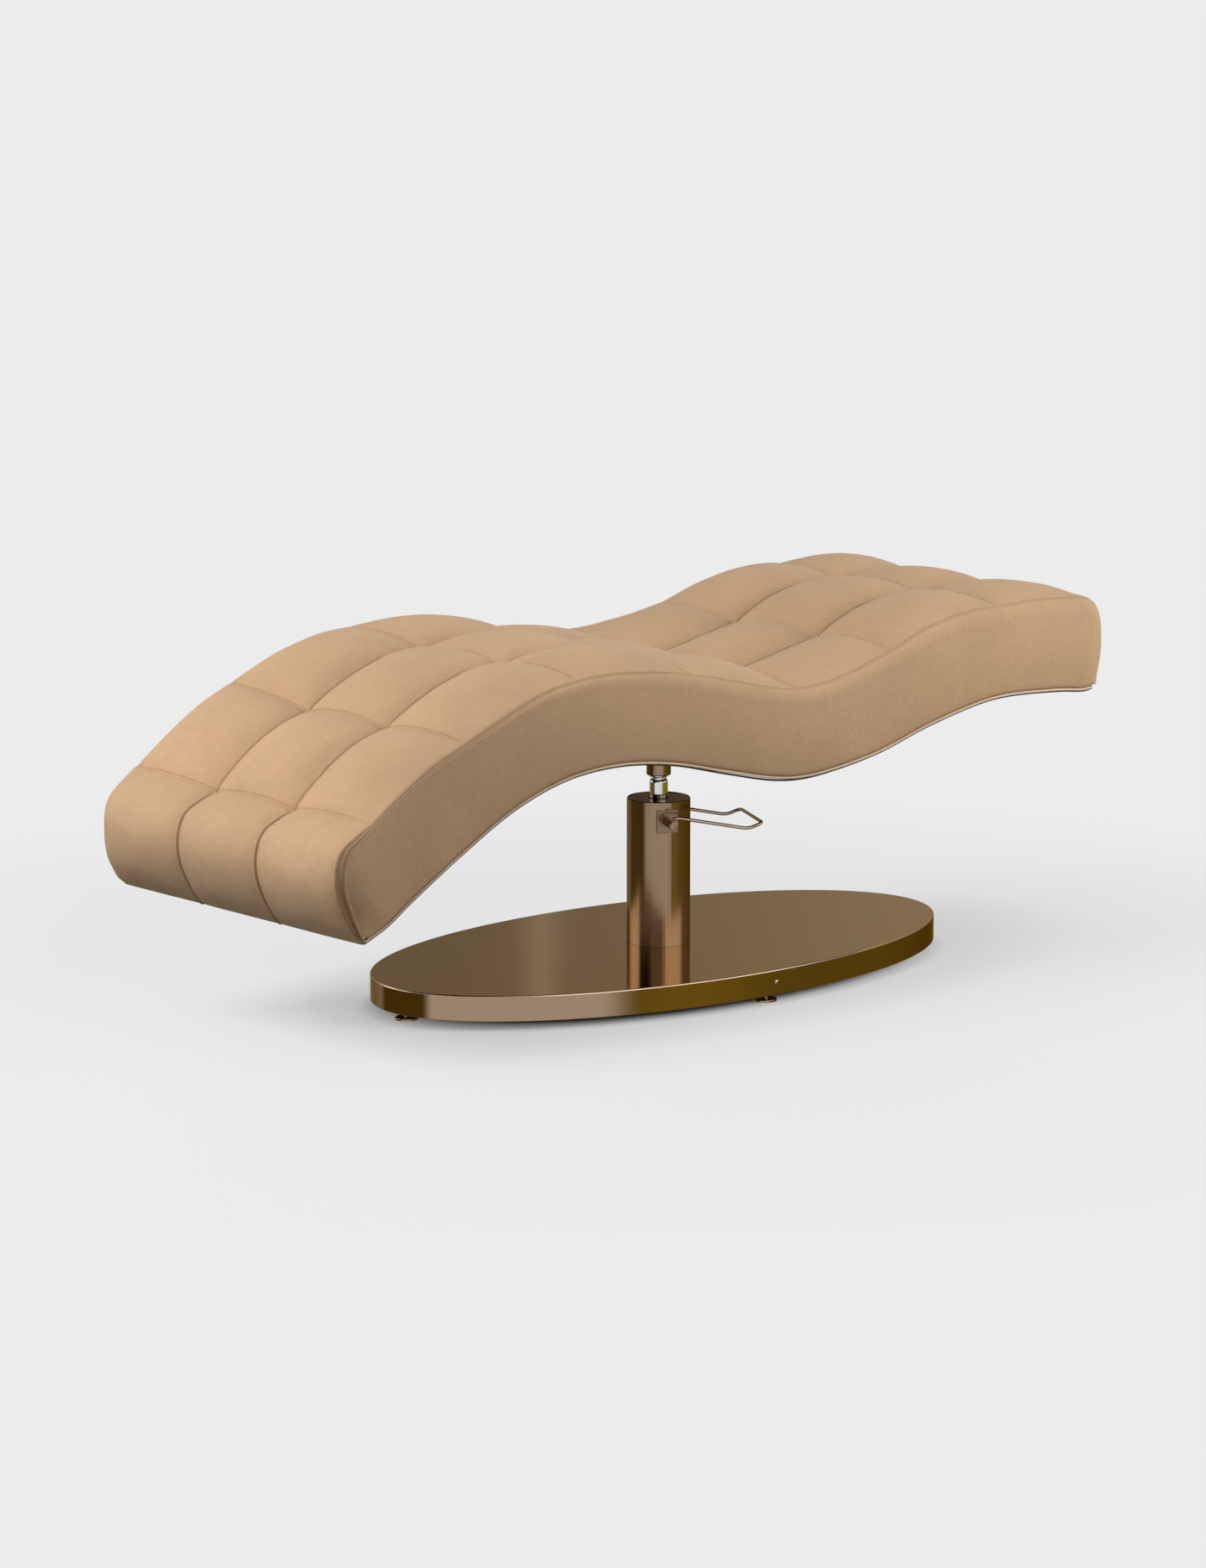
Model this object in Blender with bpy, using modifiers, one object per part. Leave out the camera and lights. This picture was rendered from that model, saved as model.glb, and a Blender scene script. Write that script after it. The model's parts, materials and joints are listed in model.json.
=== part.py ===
"""Eyelash extension bed: a tufted, wave-shaped lounger that turns and rises on an oval pedestal.

Metres, +Z up. The origin is on the floor, under the middle of the bed. +X points to the head end.
The pump lever is on the -Y side of the column. Blender 4.5, run as a standalone script.
"""

import math

import bmesh
import bpy
import numpy as np
from mathutils import Matrix, Vector

# Fits
GAP = 0.0003
SOFT_GAP = 0.0007
OVERRUN = 0.002
MERGE = 0.00001

# Bed outline, seen from the -Y side
BED_LENGTH = 1.800
BED_WIDTH = 0.685
BED_DROP = 0.0936
BED_RISE = 0.439

# Each pair is a share of BED_LENGTH from the middle and a share of BED_RISE above BED_FLOOR.
TOP_EDGE_SHARES = (
    (-0.4765, 0.000), (-0.4863, 0.088), (-0.4980, 0.218), (-0.5000, 0.292), (-0.4961, 0.363),
    (-0.4805, 0.422), (-0.4330, 0.560), (-0.3928, 0.665), (-0.3502, 0.747), (-0.2828, 0.862),
    (-0.2400, 0.918), (-0.1795, 0.943), (-0.1023, 0.919), (-0.0419, 0.878), (0.0091, 0.828),
    (0.0606, 0.781), (0.0917, 0.770), (0.1282, 0.780), (0.1649, 0.812), (0.2152, 0.878),
    (0.2712, 0.955), (0.3253, 0.993), (0.3802, 1.000), (0.4357, 0.987), (0.4806, 0.955),
    (0.4919, 0.935), (0.4977, 0.895), (0.5000, 0.810), (0.4988, 0.694), (0.4931, 0.590),
)
UNDERSIDE_SHARES = (
    (-0.4765, 0.000), (-0.4479, 0.055), (-0.4163, 0.141), (-0.3527, 0.301), (-0.2883, 0.443),
    (-0.2232, 0.530), (-0.1572, 0.554), (-0.0902, 0.528), (-0.0222, 0.465), (0.0469, 0.403),
    (0.0818, 0.390), (0.1169, 0.398), (0.1877, 0.445), (0.2595, 0.529), (0.3323, 0.592),
    (0.3692, 0.605), (0.4439, 0.594), (0.4818, 0.580), (0.4931, 0.590),
)
CURVE_STEPS = 24

# Rows of tufts: where each row starts along the top edge and, below it, along the underside
TOP_ROW_SHARES = (0.0, 0.1095, 0.2188, 0.3446, 0.4696, 0.5861, 0.6957, 0.8208, 0.9288, 0.9978)
UNDER_ROW_SHARES = (0.0, 0.075, 0.1859, 0.3068, 0.4332, 0.586, 0.7504, 0.871, 0.984, 1.0)
TUFT_STEP_SHARES = (0.0, 0.2, 0.5, 0.8)
FOOT_STEP_SHARES = (0.0, 0.06, 0.4, 0.72)
HEAD_STEP_SHARES = (0.0, 0.35, 0.7)
TUFT_COLUMNS = 3
PILLOW_POWER = 0.7

# Upholstery, heights of the top over its edge line
CROWN = 0.016
FOOT_CROWN = 0.011
HEAD_CROWN = 0.006
CROSS_SEAM_RISE = 0.009
LONG_SEAM_RISE = 0.003
TUFT_DEPTH = 0.006
SIDE_PUFF = 0.004
COVER_THICKNESS = 0.002
PIPING_DIAMETER = 0.0045
PIPING_START = 0.009

# Layers from the underside up
DUST_COVER_RECESS = 0.001
DUST_COVER_THICKNESS = 0.001
BOARD_THICKNESS = 0.012
BOARD_FOOT_INSET = 0.004
BOARD_HEAD_INSET = 0.013
RIB_HEIGHT = 0.070
RIB_THICKNESS = 0.018
DECK_THICKNESS = 0.009
SIDE_FOAM = 0.030
FRAME_FOOT_SHARE = 0.085
FRAME_HEAD_SHARE = 0.955
RAIL_STATIONS = (5, 11, 24, 29)
RAIL_THICKNESS = 0.030
RAIL_HEIGHT = 0.060

# Steel plate and bearers that carry the bed
COLUMN_X = 0.1005
PLATE_SIZE = 0.160
PLATE_THICKNESS = 0.008
PLATE_LIFT = 0.034
BEARER_WIDTH = 0.045
BEARER_HEIGHT = 0.036
BOLT_INSET = 0.020
PLATE_BOLT_RADIUS = 0.004
PLATE_BOLT_LENGTH = 0.036
PLATE_BOLT_HEAD_RADIUS = 0.0068
PLATE_BOLT_HEAD_HEIGHT = 0.0035
PLATE_BEVEL = 0.001
COLLAR_RADIUS = 0.02285
COLLAR_CHAMFER = 0.002
COLLAR_HOLE_GAP = 0.003
GRUB_RADIUS = 0.003
GRUB_RISE = 0.028
WASHER_THICKNESS = 0.003

# Ram
RAM_RADIUS = 0.01785
RAM_NECK_RADIUS = 0.0153
RAM_SHOWS = 0.0416
SHOULDER_GAP = 0.0075
RAM_BEAD = 0.0008
RAM_CHAMFER = 0.002
RAM_BOTTOM_GAP = 0.005

# Oval base
FOOT_HEIGHT = 0.0161
BASE_THICKNESS = 0.0466
BASE_HALF_LENGTH = 0.630
BASE_HALF_WIDTH = 0.331
BASE_WALL = 0.002
BASE_BEVEL = 0.0025
BASE_SEGMENTS = 88
BALLAST_THICKNESS = 0.008
BALLAST_EDGE_GAP = 0.004
BALLAST_SEGMENTS = 48

# Levelling feet
FOOT_INSET_LENGTH = 0.033
FOOT_INSET_WIDTH = 0.031
PAD_RADIUS = 0.0215
PAD_HEIGHT = 0.005
PAD_CHAMFER = 0.0015
STUD_RADIUS = 0.005
STUD_TOP_GAP = 0.002
NUT_RADIUS = 0.0098
NUT_HEIGHT = 0.010

# Rim screws and the brackets that they hold
RIM_SCREW_RADIUS = 0.0025
RIM_HEAD_RADIUS = 0.00525
RIM_HEAD_HEIGHT = 0.0026
RIM_SCREW_LENGTH = 0.011
RIM_SOCKET_RADIUS = 0.0019
RIM_SOCKET_DEPTH = 0.0014
BRACKET_SIZE = (0.024, 0.014, 0.022)

# Column
COLUMN_RADIUS = 0.0591
COLUMN_HEIGHT = 0.2726
COLUMN_WALL = 0.003
COLUMN_BEVEL = 0.0015
FLANGE_THICKNESS = 0.012
FLANGE_BOLT_CIRCLE = 0.043
FLANGE_BOLT_RADIUS = 0.005
FLANGE_HEAD_RADIUS = 0.0085
FLANGE_HEAD_HEIGHT = 0.006
CAP_RECESS = 0.001
CAP_THICKNESS = 0.006
WIPER_HEIGHT = 0.008
WIPER_RADIUS = 0.024
BUSH_HEIGHT = 0.024
BUSH_RADIUS = 0.027

# Hydraulic pump
PUMP_RADIUS = 0.030
PUMP_FLOOR = 0.014
BARREL_RADIUS = 0.009
BARREL_HEIGHT = 0.060
BARREL_DROP = 0.034
BARREL_BORE_DEPTH = 0.043
WEB_WIDTH = 0.010
WEB_INSET = 0.006
PLUNGER_RADIUS = 0.005
PLUNGER_DOME = 0.008
PLUNGER_SEATED = 0.034
PLUNGER_COLLAR_RADIUS = 0.0075
PLUNGER_COLLAR_DROP = 0.008
PLUNGER_COLLAR_HEIGHT = 0.003
SPRING_WIRE = 0.0014
SPRING_RADIUS = 0.0062
SPRING_TURNS = 5
SPRING_POINTS_PER_TURN = 8

# Pump lever, in its own axes: s runs out along the lever, d out along the pivot
LEVER_AZIMUTH = math.radians(-115.0)
LEVER_AXIS_DROP = 0.0366
LEVER_PLATE_SIZE = 0.0413
LEVER_PLATE_FACE = 0.0025
LEVER_PLATE_BEVEL = 0.0012
PIN_RADIUS = 0.006
PIN_INNER_END = 0.035
HUB_RADIUS = 0.0084
HUB_CHAMFER = 0.0008
HUB_END = 0.106
REAR_HUB_END = 0.084
HUB_SOCKET_RADIUS = 0.0064
HUB_SOCKET_DEPTH = 0.005
HUB_SCREW_HEIGHT = 0.004
HEX_RADIUS = 0.0032
HEX_DEPTH = 0.0028
CAM_RADIUS = 0.009
CAM_REACH = 0.014
CAM_START = 0.036
CAM_THICKNESS = 0.010
CLIP_RADIUS = 0.010
CLIP_THICKNESS = 0.0015
CLIP_WALL_GAP = 0.0045
ROD_RADIUS = 0.0031
ROD_BEND = 0.012
ROD_BEND_STEPS = 4
ROD_FRONT = 0.099
ROD_REAR = -0.046
ROD_REAR_END = -0.075
ROD_REAR_TURN = 0.072
ROD_HOOK = 0.009
ROD_HOOK_RISE = 0.014
ROD_KNEE = 0.145
ROD_KNEE_RISE = -0.0127
ROD_TIP = 0.172
ROD_TIP_RISE = -0.0026

# Heights and radii that follow from the sizes above
BASE_TOP = FOOT_HEIGHT + BASE_THICKNESS
FOOT_REACH_X = BASE_HALF_LENGTH - FOOT_INSET_LENGTH
FOOT_REACH_Y = BASE_HALF_WIDTH - FOOT_INSET_WIDTH
BALLAST_TOP = BASE_TOP - BASE_WALL - GAP
BALLAST_BOTTOM = BALLAST_TOP - BALLAST_THICKNESS
COLUMN_BOTTOM = BASE_TOP + GAP
COLUMN_TOP = COLUMN_BOTTOM + COLUMN_HEIGHT
COLLAR_BOTTOM = COLUMN_TOP + RAM_SHOWS
RAM_SHOULDER = COLLAR_BOTTOM - SHOULDER_GAP
BED_FLOOR = COLUMN_TOP - BED_DROP
BOLT_SPREAD = PLATE_SIZE / 2 - BOLT_INSET
COLUMN_BORE = COLUMN_RADIUS - COLUMN_WALL
FLANGE_TOP = COLUMN_BOTTOM + FLANGE_THICKNESS
CAP_TOP = COLUMN_TOP - CAP_RECESS
WIPER_TOP = CAP_TOP - CAP_THICKNESS - GAP
BUSH_TOP = WIPER_TOP - WIPER_HEIGHT - GAP
PUMP_TOP = BUSH_TOP - BUSH_HEIGHT - GAP
PUMP_BOTTOM = FLANGE_TOP + GAP
RAM_BOTTOM = PUMP_BOTTOM + PUMP_FLOOR + RAM_BOTTOM_GAP
RAM_BORE = RAM_RADIUS + GAP
LEVER_HEIGHT = COLUMN_TOP - LEVER_AXIS_DROP
PLATE_FACE = COLUMN_RADIUS + LEVER_PLATE_FACE
BARREL_TOP = LEVER_HEIGHT - BARREL_DROP
PLUNGER_TOP = LEVER_HEIGHT - CAM_RADIUS - GAP
DUST_COVER_TOP = DUST_COVER_RECESS + DUST_COVER_THICKNESS
BOARD_LOW = DUST_COVER_TOP + GAP
BOARD_TOP = BOARD_LOW + BOARD_THICKNESS
RIB_LOW = BOARD_TOP + GAP
RIB_TOP = RIB_LOW + RIB_HEIGHT
DECK_LOW = RIB_TOP + GAP
DECK_TOP = DECK_LOW + DECK_THICKNESS
FOAM_LOW = BOARD_TOP + GAP
FOAM_INSET = COVER_THICKNESS + SOFT_GAP
COVER_LOW = PIPING_DIAMETER + GAP
HALF_WIDTH = BED_WIDTH / 2
BOARD_HALF_WIDTH = HALF_WIDTH - PIPING_DIAMETER - GAP
FRAME_HALF_WIDTH = HALF_WIDTH - SIDE_FOAM


def clear_scene():
    for obj in list(bpy.data.objects):
        bpy.data.objects.remove(obj, do_unlink=True)


def new_collection(name):
    made = bpy.data.collections.new(name)
    bpy.context.scene.collection.children.link(made)
    return made


clear_scene()
PARTS = new_collection("eyelash_extension_bed")
CUTTERS = new_collection("cutters")


def material(name, colour, roughness, metallic=0.0):
    made = bpy.data.materials.new(name)
    made.use_nodes = True
    made.diffuse_color = (*colour, 1)
    shader = made.node_tree.nodes["Principled BSDF"]
    shader.inputs["Base Color"].default_value = (*colour, 1)
    shader.inputs["Roughness"].default_value = roughness
    shader.inputs["Metallic"].default_value = metallic
    return made


LEATHER = material("caramel_leather", (0.62, 0.42, 0.24), 0.55)
PIPING = material("piping_leather", (0.74, 0.55, 0.36), 0.5)
FOAM = material("foam", (0.83, 0.79, 0.62), 0.9)
CLOTH = material("black_cloth", (0.02, 0.02, 0.02), 0.9)
PLYWOOD = material("plywood", (0.65, 0.47, 0.28), 0.7)
GOLD = material("bronze_gold", (0.28, 0.18, 0.09), 0.3, 1)
DARK = material("dark_cap", (0.11, 0.09, 0.08), 0.45, 0.6)
CHROME = material("chrome", (0.8, 0.8, 0.82), 0.08, 1)
STEEL = material("zinc_steel", (0.5, 0.5, 0.5), 0.4, 1)
IRON = material("cast_iron", (0.06, 0.06, 0.06), 0.6, 0.8)
BRONZE = material("bearing_bronze", (0.55, 0.35, 0.14), 0.35, 1)
RUBBER = material("rubber", (0.03, 0.03, 0.03), 0.8)


def empty(name, matrix):
    made = bpy.data.objects.new(name, None)
    PARTS.objects.link(made)
    made.matrix_world = matrix
    return made


def lever_matrix():
    """Local X runs out along the lever, local Y up and local Z out along the pivot."""
    out = Vector((math.cos(LEVER_AZIMUTH), math.sin(LEVER_AZIMUTH), 0))
    up = Vector((0, 0, 1))
    along = up.cross(out)
    turn = Matrix((along, up, out)).transposed().to_4x4()
    return Matrix.Translation((COLUMN_X, 0, LEVER_HEIGHT)) @ turn


COLUMN_AXIS = empty("column_axis", Matrix.Translation((COLUMN_X, 0, 0)))
LEVER_PIVOT = empty("lever_pivot", lever_matrix())


def place(name, data, finish, parent=None, at=(0, 0, 0), turn=None):
    """A named piece; its place is in its parent's axes, or in the world's without one."""
    made = bpy.data.objects.new(name, data)
    PARTS.objects.link(made)
    data.materials.append(finish)
    local = Matrix.Translation(at) @ (turn if turn else Matrix())
    made.parent = parent
    made.matrix_local = local
    return made


def as_cutter(piece):
    PARTS.objects.unlink(piece)
    CUTTERS.objects.link(piece)
    piece.hide_render = True
    piece.display_type = "WIRE"
    return piece


def boolean(piece, other, operation="DIFFERENCE"):
    modifier = piece.modifiers.new(operation.lower(), "BOOLEAN")
    modifier.operation = operation
    modifier.solver = "EXACT"
    modifier.object = other


def cut(piece, *cutters):
    for cutter in cutters:
        boolean(piece, cutter)


def turned(name, profile, finish, parent=COLUMN_AXIS, at=(0, 0, 0), turn=None, steps=40):
    """A turned piece. The profile runs down its outer side, as radius and height, and closes on itself
    unless it starts on the axis."""
    on_axis = profile[0][0] == 0
    count = len(profile)
    edges = [(i, i + 1) for i in range(count - 1)]
    if not on_axis:
        edges.append((count - 1, 0))
    mesh = bpy.data.meshes.new(name)
    mesh.from_pydata([(r, 0, z) for r, z in profile], edges, [])
    piece = place(name, mesh, finish, parent, at, turn)
    screw = piece.modifiers.new("turn", "SCREW")
    screw.steps = steps
    screw.render_steps = steps
    screw.use_merge_vertices = True
    screw.merge_threshold = MERGE
    screw.use_smooth_shade = True
    return piece


def rod(name, radius, low, high, finish, parent=COLUMN_AXIS, at=(0, 0, 0), turn=None, steps=24):
    profile = [(0, high), (radius, high), (radius, low), (0, low)]
    return turned(name, profile, finish, parent, at, turn, steps)


def ring(name, outer, inner, low, high, finish, parent=COLUMN_AXIS, at=(0, 0, 0), steps=40):
    profile = [(outer, high), (outer, low), (inner, low), (inner, high)]
    return turned(name, profile, finish, parent, at, None, steps)


def drill(name, radius, low, high, parent=COLUMN_AXIS, at=(0, 0, 0), turn=None, steps=16):
    return as_cutter(rod(name, radius, low, high, STEEL, parent, at, turn, steps))


def block(name, size, finish, parent=None, at=(0, 0, 0), turn=None, bevel=0.0):
    mesh = bpy.data.meshes.new(name)
    shape = bmesh.new()
    bmesh.ops.create_cube(shape, size=1, matrix=Matrix.Diagonal((*size, 1)))
    shape.to_mesh(mesh)
    shape.free()
    piece = place(name, mesh, finish, parent, at, turn)
    if bevel:
        soften = piece.modifiers.new("edges", "BEVEL")
        soften.width = bevel
        soften.segments = 2
        soften.limit_method = "ANGLE"
    return piece


def prism(name, radius, low, high, finish, parent=COLUMN_AXIS, at=(0, 0, 0), turn=None, sides=6):
    return rod(name, radius, low, high, finish, parent, at, turn, sides)


def outline(name, loops, half_thickness, finish, parent=None, at=(0, 0, 0), turn=None):
    """A flat outline in local XY, made into a slab; loops after the first are holes."""
    curve = bpy.data.curves.new(name, "CURVE")
    curve.dimensions = "2D"
    curve.fill_mode = "BOTH"
    curve.extrude = half_thickness
    for loop in loops:
        spline = curve.splines.new("POLY")
        spline.points.add(len(loop) - 1)
        spline.use_cyclic_u = True
        for point, (x, y) in zip(spline.points, loop):
            point.co = (x, y, 0, 1)
    return place(name, curve, finish, parent, at, turn)


def wire(name, points, radius, finish, parent=None, resolution=2):
    curve = bpy.data.curves.new(name, "CURVE")
    curve.dimensions = "3D"
    curve.bevel_depth = radius
    curve.bevel_resolution = resolution
    curve.use_fill_caps = True
    spline = curve.splines.new("POLY")
    spline.points.add(len(points) - 1)
    for point, co in zip(spline.points, points):
        point.co = (*co, 1)
    return place(name, curve, finish, parent)


def as_mesh(piece):
    """The same piece as a mesh, its caps welded, so that it can be cut."""
    bpy.context.view_layer.update()
    graph = bpy.context.evaluated_depsgraph_get()
    mesh = bpy.data.meshes.new_from_object(piece.evaluated_get(graph))
    shape = bmesh.new()
    shape.from_mesh(mesh)
    bmesh.ops.remove_doubles(shape, verts=shape.verts, dist=MERGE)
    bmesh.ops.recalc_face_normals(shape, faces=shape.faces)
    shape.to_mesh(mesh)
    shape.free()
    name, parent, world = piece.name, piece.parent, piece.matrix_world.copy()
    bpy.data.objects.remove(piece, do_unlink=True)
    made = bpy.data.objects.new(name, mesh)
    PARTS.objects.link(made)
    made.parent = parent
    made.matrix_world = world
    return made


def real_outline(shares):
    return [Vector((x * BED_LENGTH, BED_FLOOR + z * BED_RISE)) for x, z in shares]


def smooth_curve(points):
    """Points of a centripetal Catmull-Rom curve through the given ones."""
    ends = [2 * points[0] - points[1], *points, 2 * points[-1] - points[-2]]
    made = []
    for a, b, c, d in zip(ends, ends[1:], ends[2:], ends[3:]):
        k0, k1, k2 = (math.sqrt((q - p).length) for p, q in ((a, b), (b, c), (c, d)))
        leave = (c - b) + k1 * ((b - a) / k0 - (c - a) / (k0 + k1))
        arrive = (c - b) + k1 * ((d - c) / k2 - (d - b) / (k1 + k2))
        for step in range(CURVE_STEPS):
            t = step / CURVE_STEPS
            made.append(
                (2 * t**3 - 3 * t**2 + 1) * b + (t**3 - 2 * t**2 + t) * leave
                + (3 * t**2 - 2 * t**3) * c + (t**3 - t**2) * arrive
            )
    return [*made, points[-1]]


def at_shares(curve, shares):
    """The points at these shares of the curve's length, and the length."""
    flat = np.array([tuple(p) for p in curve])
    run = np.concatenate([[0], np.cumsum(np.linalg.norm(np.diff(flat, axis=0), axis=1))])
    places = np.array(shares) * run[-1]
    found = zip(np.interp(places, run, flat[:, 0]), np.interp(places, run, flat[:, 1]))
    return [Vector(p) for p in found], float(run[-1])


def row_steps(row):
    if row == 0:
        return FOOT_STEP_SHARES
    return HEAD_STEP_SHARES if row == len(TOP_ROW_SHARES) - 2 else TUFT_STEP_SHARES


# Each station is a row of tufts and how far along that row it lies, as a share.
STATIONS = [(row, step) for row in range(len(TOP_ROW_SHARES) - 1) for step in row_steps(row)]
STATIONS.append((len(TOP_ROW_SHARES) - 2, 1.0))


def station_shares(row_shares):
    return [row_shares[r] + (row_shares[r + 1] - row_shares[r]) * s for r, s in STATIONS]


def miters(points):
    """At each point, the vector to the left that offsets both runs beside it by one unit."""
    runs = [(b - a).normalized() for a, b in zip(points, points[1:])]
    lefts = [Vector((-r.y, r.x)) for r in runs]
    pairs = zip([lefts[0], *lefts], [*lefts, lefts[-1]])
    return [(a + b) / (1 + a.dot(b)) for a, b in pairs]


TOP_POINTS, TOP_RUN = at_shares(smooth_curve(real_outline(TOP_EDGE_SHARES)), station_shares(TOP_ROW_SHARES))
TOP_MITERS = miters(TOP_POINTS)
UNDER_SHARES = station_shares(UNDER_ROW_SHARES)
UNDER_POINTS, UNDER_RUN = at_shares(smooth_curve(real_outline(UNDERSIDE_SHARES)), UNDER_SHARES)
UNDER_MITERS = miters(UNDER_POINTS)


def under(share, height):
    """The point at this share of the underside, this height square to it, on its straight runs."""
    place_on = float(np.interp(share, UNDER_SHARES, range(len(UNDER_SHARES))))
    low = min(int(place_on), len(UNDER_SHARES) - 2)
    here = UNDER_POINTS[low] + UNDER_MITERS[low] * height
    there = UNDER_POINTS[low + 1] + UNDER_MITERS[low + 1] * height
    return here.lerp(there, place_on - low)


def layer_outline(low, high, start, end):
    between = [s for s in UNDER_SHARES if start < s < end]
    shares = [start, *between, end]
    return [tuple(under(s, low)) for s in shares] + [tuple(under(s, high)) for s in reversed(shares)]


UPRIGHT = Matrix.Rotation(math.pi / 2, 4, "X")


def layer(name, low, high, start, end, finish, half_width, side=0.0):
    """A slab that follows the underside between two heights, its middle this far to one side."""
    loop = layer_outline(low, high, start, end)
    return outline(name, [loop], half_width, finish, None, (0, side, 0), UPRIGHT)


COLUMN_STEPS = [c + s for c in range(TUFT_COLUMNS) for s in TUFT_STEP_SHARES] + [TUFT_COLUMNS]


def pillow(share):
    return max(math.sin(math.pi * share), 0) ** PILLOW_POWER


def relief(station, across):
    """Height of the tufted top over its edge line."""
    row, along = STATIONS[station]
    last_row = len(TOP_ROW_SHARES) - 2
    column = min(int(across), TUFT_COLUMNS - 1)
    over = across - column
    crown = {0: FOOT_CROWN, last_row: HEAD_CROWN}.get(row, CROWN)
    rise = CROSS_SEAM_RISE * crown / CROWN
    puff_along, puff_across = pillow(along), pillow(over)
    at_start = 0 if row == 0 else 1
    at_end = 0 if row == last_row else 1
    tied = at_start * (1 - along) + at_end * along
    inner_seam = (LONG_SEAM_RISE + TUFT_DEPTH) * puff_along - TUFT_DEPTH * tied
    seam_left = inner_seam if column > 0 else 0
    seam_right = inner_seam if column < TUFT_COLUMNS - 1 else 0
    seam = seam_left * (1 - over) + seam_right * over
    middle = crown * puff_along + rise * tied * (1 - puff_along)
    return seam * (1 - puff_across) + middle * puff_across


def top_point(station, across, inset):
    half = HALF_WIDTH - inset
    flat = TOP_POINTS[station] + TOP_MITERS[station] * (relief(station, across) - inset)
    return Vector((flat.x, half * (2 * across / TUFT_COLUMNS - 1), flat.y))


def closed_between(name, rows, columns, outer, inner, finish):
    """A closed form between two sheets: a grid and its extruded copy, each vertex moved into place."""
    shape = bmesh.new()
    bmesh.ops.create_grid(shape, x_segments=rows, y_segments=columns, size=1)
    faces = list(shape.faces)
    copied = bmesh.ops.extrude_face_region(shape, geom=faces, use_keep_orig=True)["geom"]
    inside = {v for v in copied if isinstance(v, bmesh.types.BMVert)}
    for vertex in shape.verts:
        row = round((vertex.co.x + 1) / 2 * rows)
        column = round((vertex.co.y + 1) / 2 * columns)
        vertex.co = (inner if vertex in inside else outer)(row, column)
    bmesh.ops.remove_doubles(shape, verts=shape.verts, dist=MERGE)
    bmesh.ops.dissolve_degenerate(shape, edges=shape.edges, dist=MERGE)
    bmesh.ops.recalc_face_normals(shape, faces=shape.faces)
    mesh = bpy.data.meshes.new(name)
    shape.to_mesh(mesh)
    shape.free()
    mesh.shade_smooth()
    return place(name, mesh, finish)


LAST = len(STATIONS) - 1
SIDE_STEPS = 2


def cover_point(inset):
    """The leather sheet: up one side panel, over the tufts and down the other."""

    def point(station, column):
        across = min(max(column - SIDE_STEPS, 0), len(COLUMN_STEPS) - 1)
        edge = top_point(station, COLUMN_STEPS[across], inset)
        down = max(SIDE_STEPS - column, column - SIDE_STEPS - len(COLUMN_STEPS) + 1, 0) / SIDE_STEPS
        if down == 0 or station in (0, LAST):
            return edge
        low = under(UNDER_SHARES[station], COVER_LOW)
        side = math.copysign(HALF_WIDTH - inset + SIDE_PUFF * math.sin(math.pi * down), edge.y)
        return Vector((edge.x + (low.x - edge.x) * down, side, edge.z + (low.y - edge.z) * down))

    return point


def leather_cover():
    columns = len(COLUMN_STEPS) - 1 + 2 * SIDE_STEPS
    return closed_between("leather_cover", LAST, columns, cover_point(0), cover_point(COVER_THICKNESS), LEATHER)


def foam_core():
    """The foam block, hollowed from below where the timber frame goes in."""
    foot_share = FOAM_INSET / UNDER_RUN
    head_share = 1 - (FOAM_INSET + FOAM_LOW) / UNDER_RUN

    def bottom(station, column):
        share = min(max(UNDER_SHARES[station], foot_share), head_share)
        low = under(share, FOAM_LOW)
        half = HALF_WIDTH - FOAM_INSET
        return Vector((low.x, half * (2 * COLUMN_STEPS[column] / TUFT_COLUMNS - 1), low.y))

    def top(station, column):
        if station in (0, LAST):
            return bottom(station, column)
        return top_point(station, COLUMN_STEPS[column], FOAM_INSET)

    piece = closed_between("foam_core", LAST, len(COLUMN_STEPS) - 1, top, bottom, FOAM)
    pocket = layer(
        "frame_pocket", FOAM_LOW - OVERRUN, DECK_TOP + GAP, FRAME_FOOT_SHARE - GAP / UNDER_RUN,
        FRAME_HEAD_SHARE + GAP / UNDER_RUN, FOAM, FRAME_HALF_WIDTH + GAP,
    )
    cut(piece, as_cutter(as_mesh(pocket)))
    return piece


def timber_frame():
    ends = (FRAME_FOOT_SHARE, FRAME_HEAD_SHARE)
    rib_middle = FRAME_HALF_WIDTH - RIB_THICKNESS / 2
    for name, side in (("frame_rib_near", -rib_middle), ("frame_rib_far", rib_middle)):
        layer(name, RIB_LOW, RIB_TOP, *ends, PLYWOOD, RIB_THICKNESS / 2, side)
    layer("deck_board", DECK_LOW, DECK_TOP, *ends, PLYWOOD, FRAME_HALF_WIDTH)
    rail_length = 2 * (FRAME_HALF_WIDTH - RIB_THICKNESS - GAP)
    for number, station in enumerate(RAIL_STATIONS, 1):
        share = (UNDER_SHARES[station] + UNDER_SHARES[station + 1]) / 2
        run = UNDER_POINTS[station + 1] - UNDER_POINTS[station]
        middle = under(share, RIB_LOW + RAIL_HEIGHT / 2)
        slope = Matrix.Rotation(-math.atan2(run.y, run.x), 4, "Y")
        size = (RAIL_THICKNESS, rail_length, RAIL_HEIGHT)
        block(f"cross_rail_{number}", size, PLYWOOD, None, (middle.x, 0, middle.y), slope)


def underside_height(x):
    return float(np.interp(x, [p.x for p in UNDER_POINTS], [p.y for p in UNDER_POINTS]))


PLATE_BOTTOM = underside_height(COLUMN_X) + PLATE_LIFT
PLATE_TOP = PLATE_BOTTOM + PLATE_THICKNESS
RAM_TOP = PLATE_BOTTOM - WASHER_THICKNESS - 2 * GAP


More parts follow.
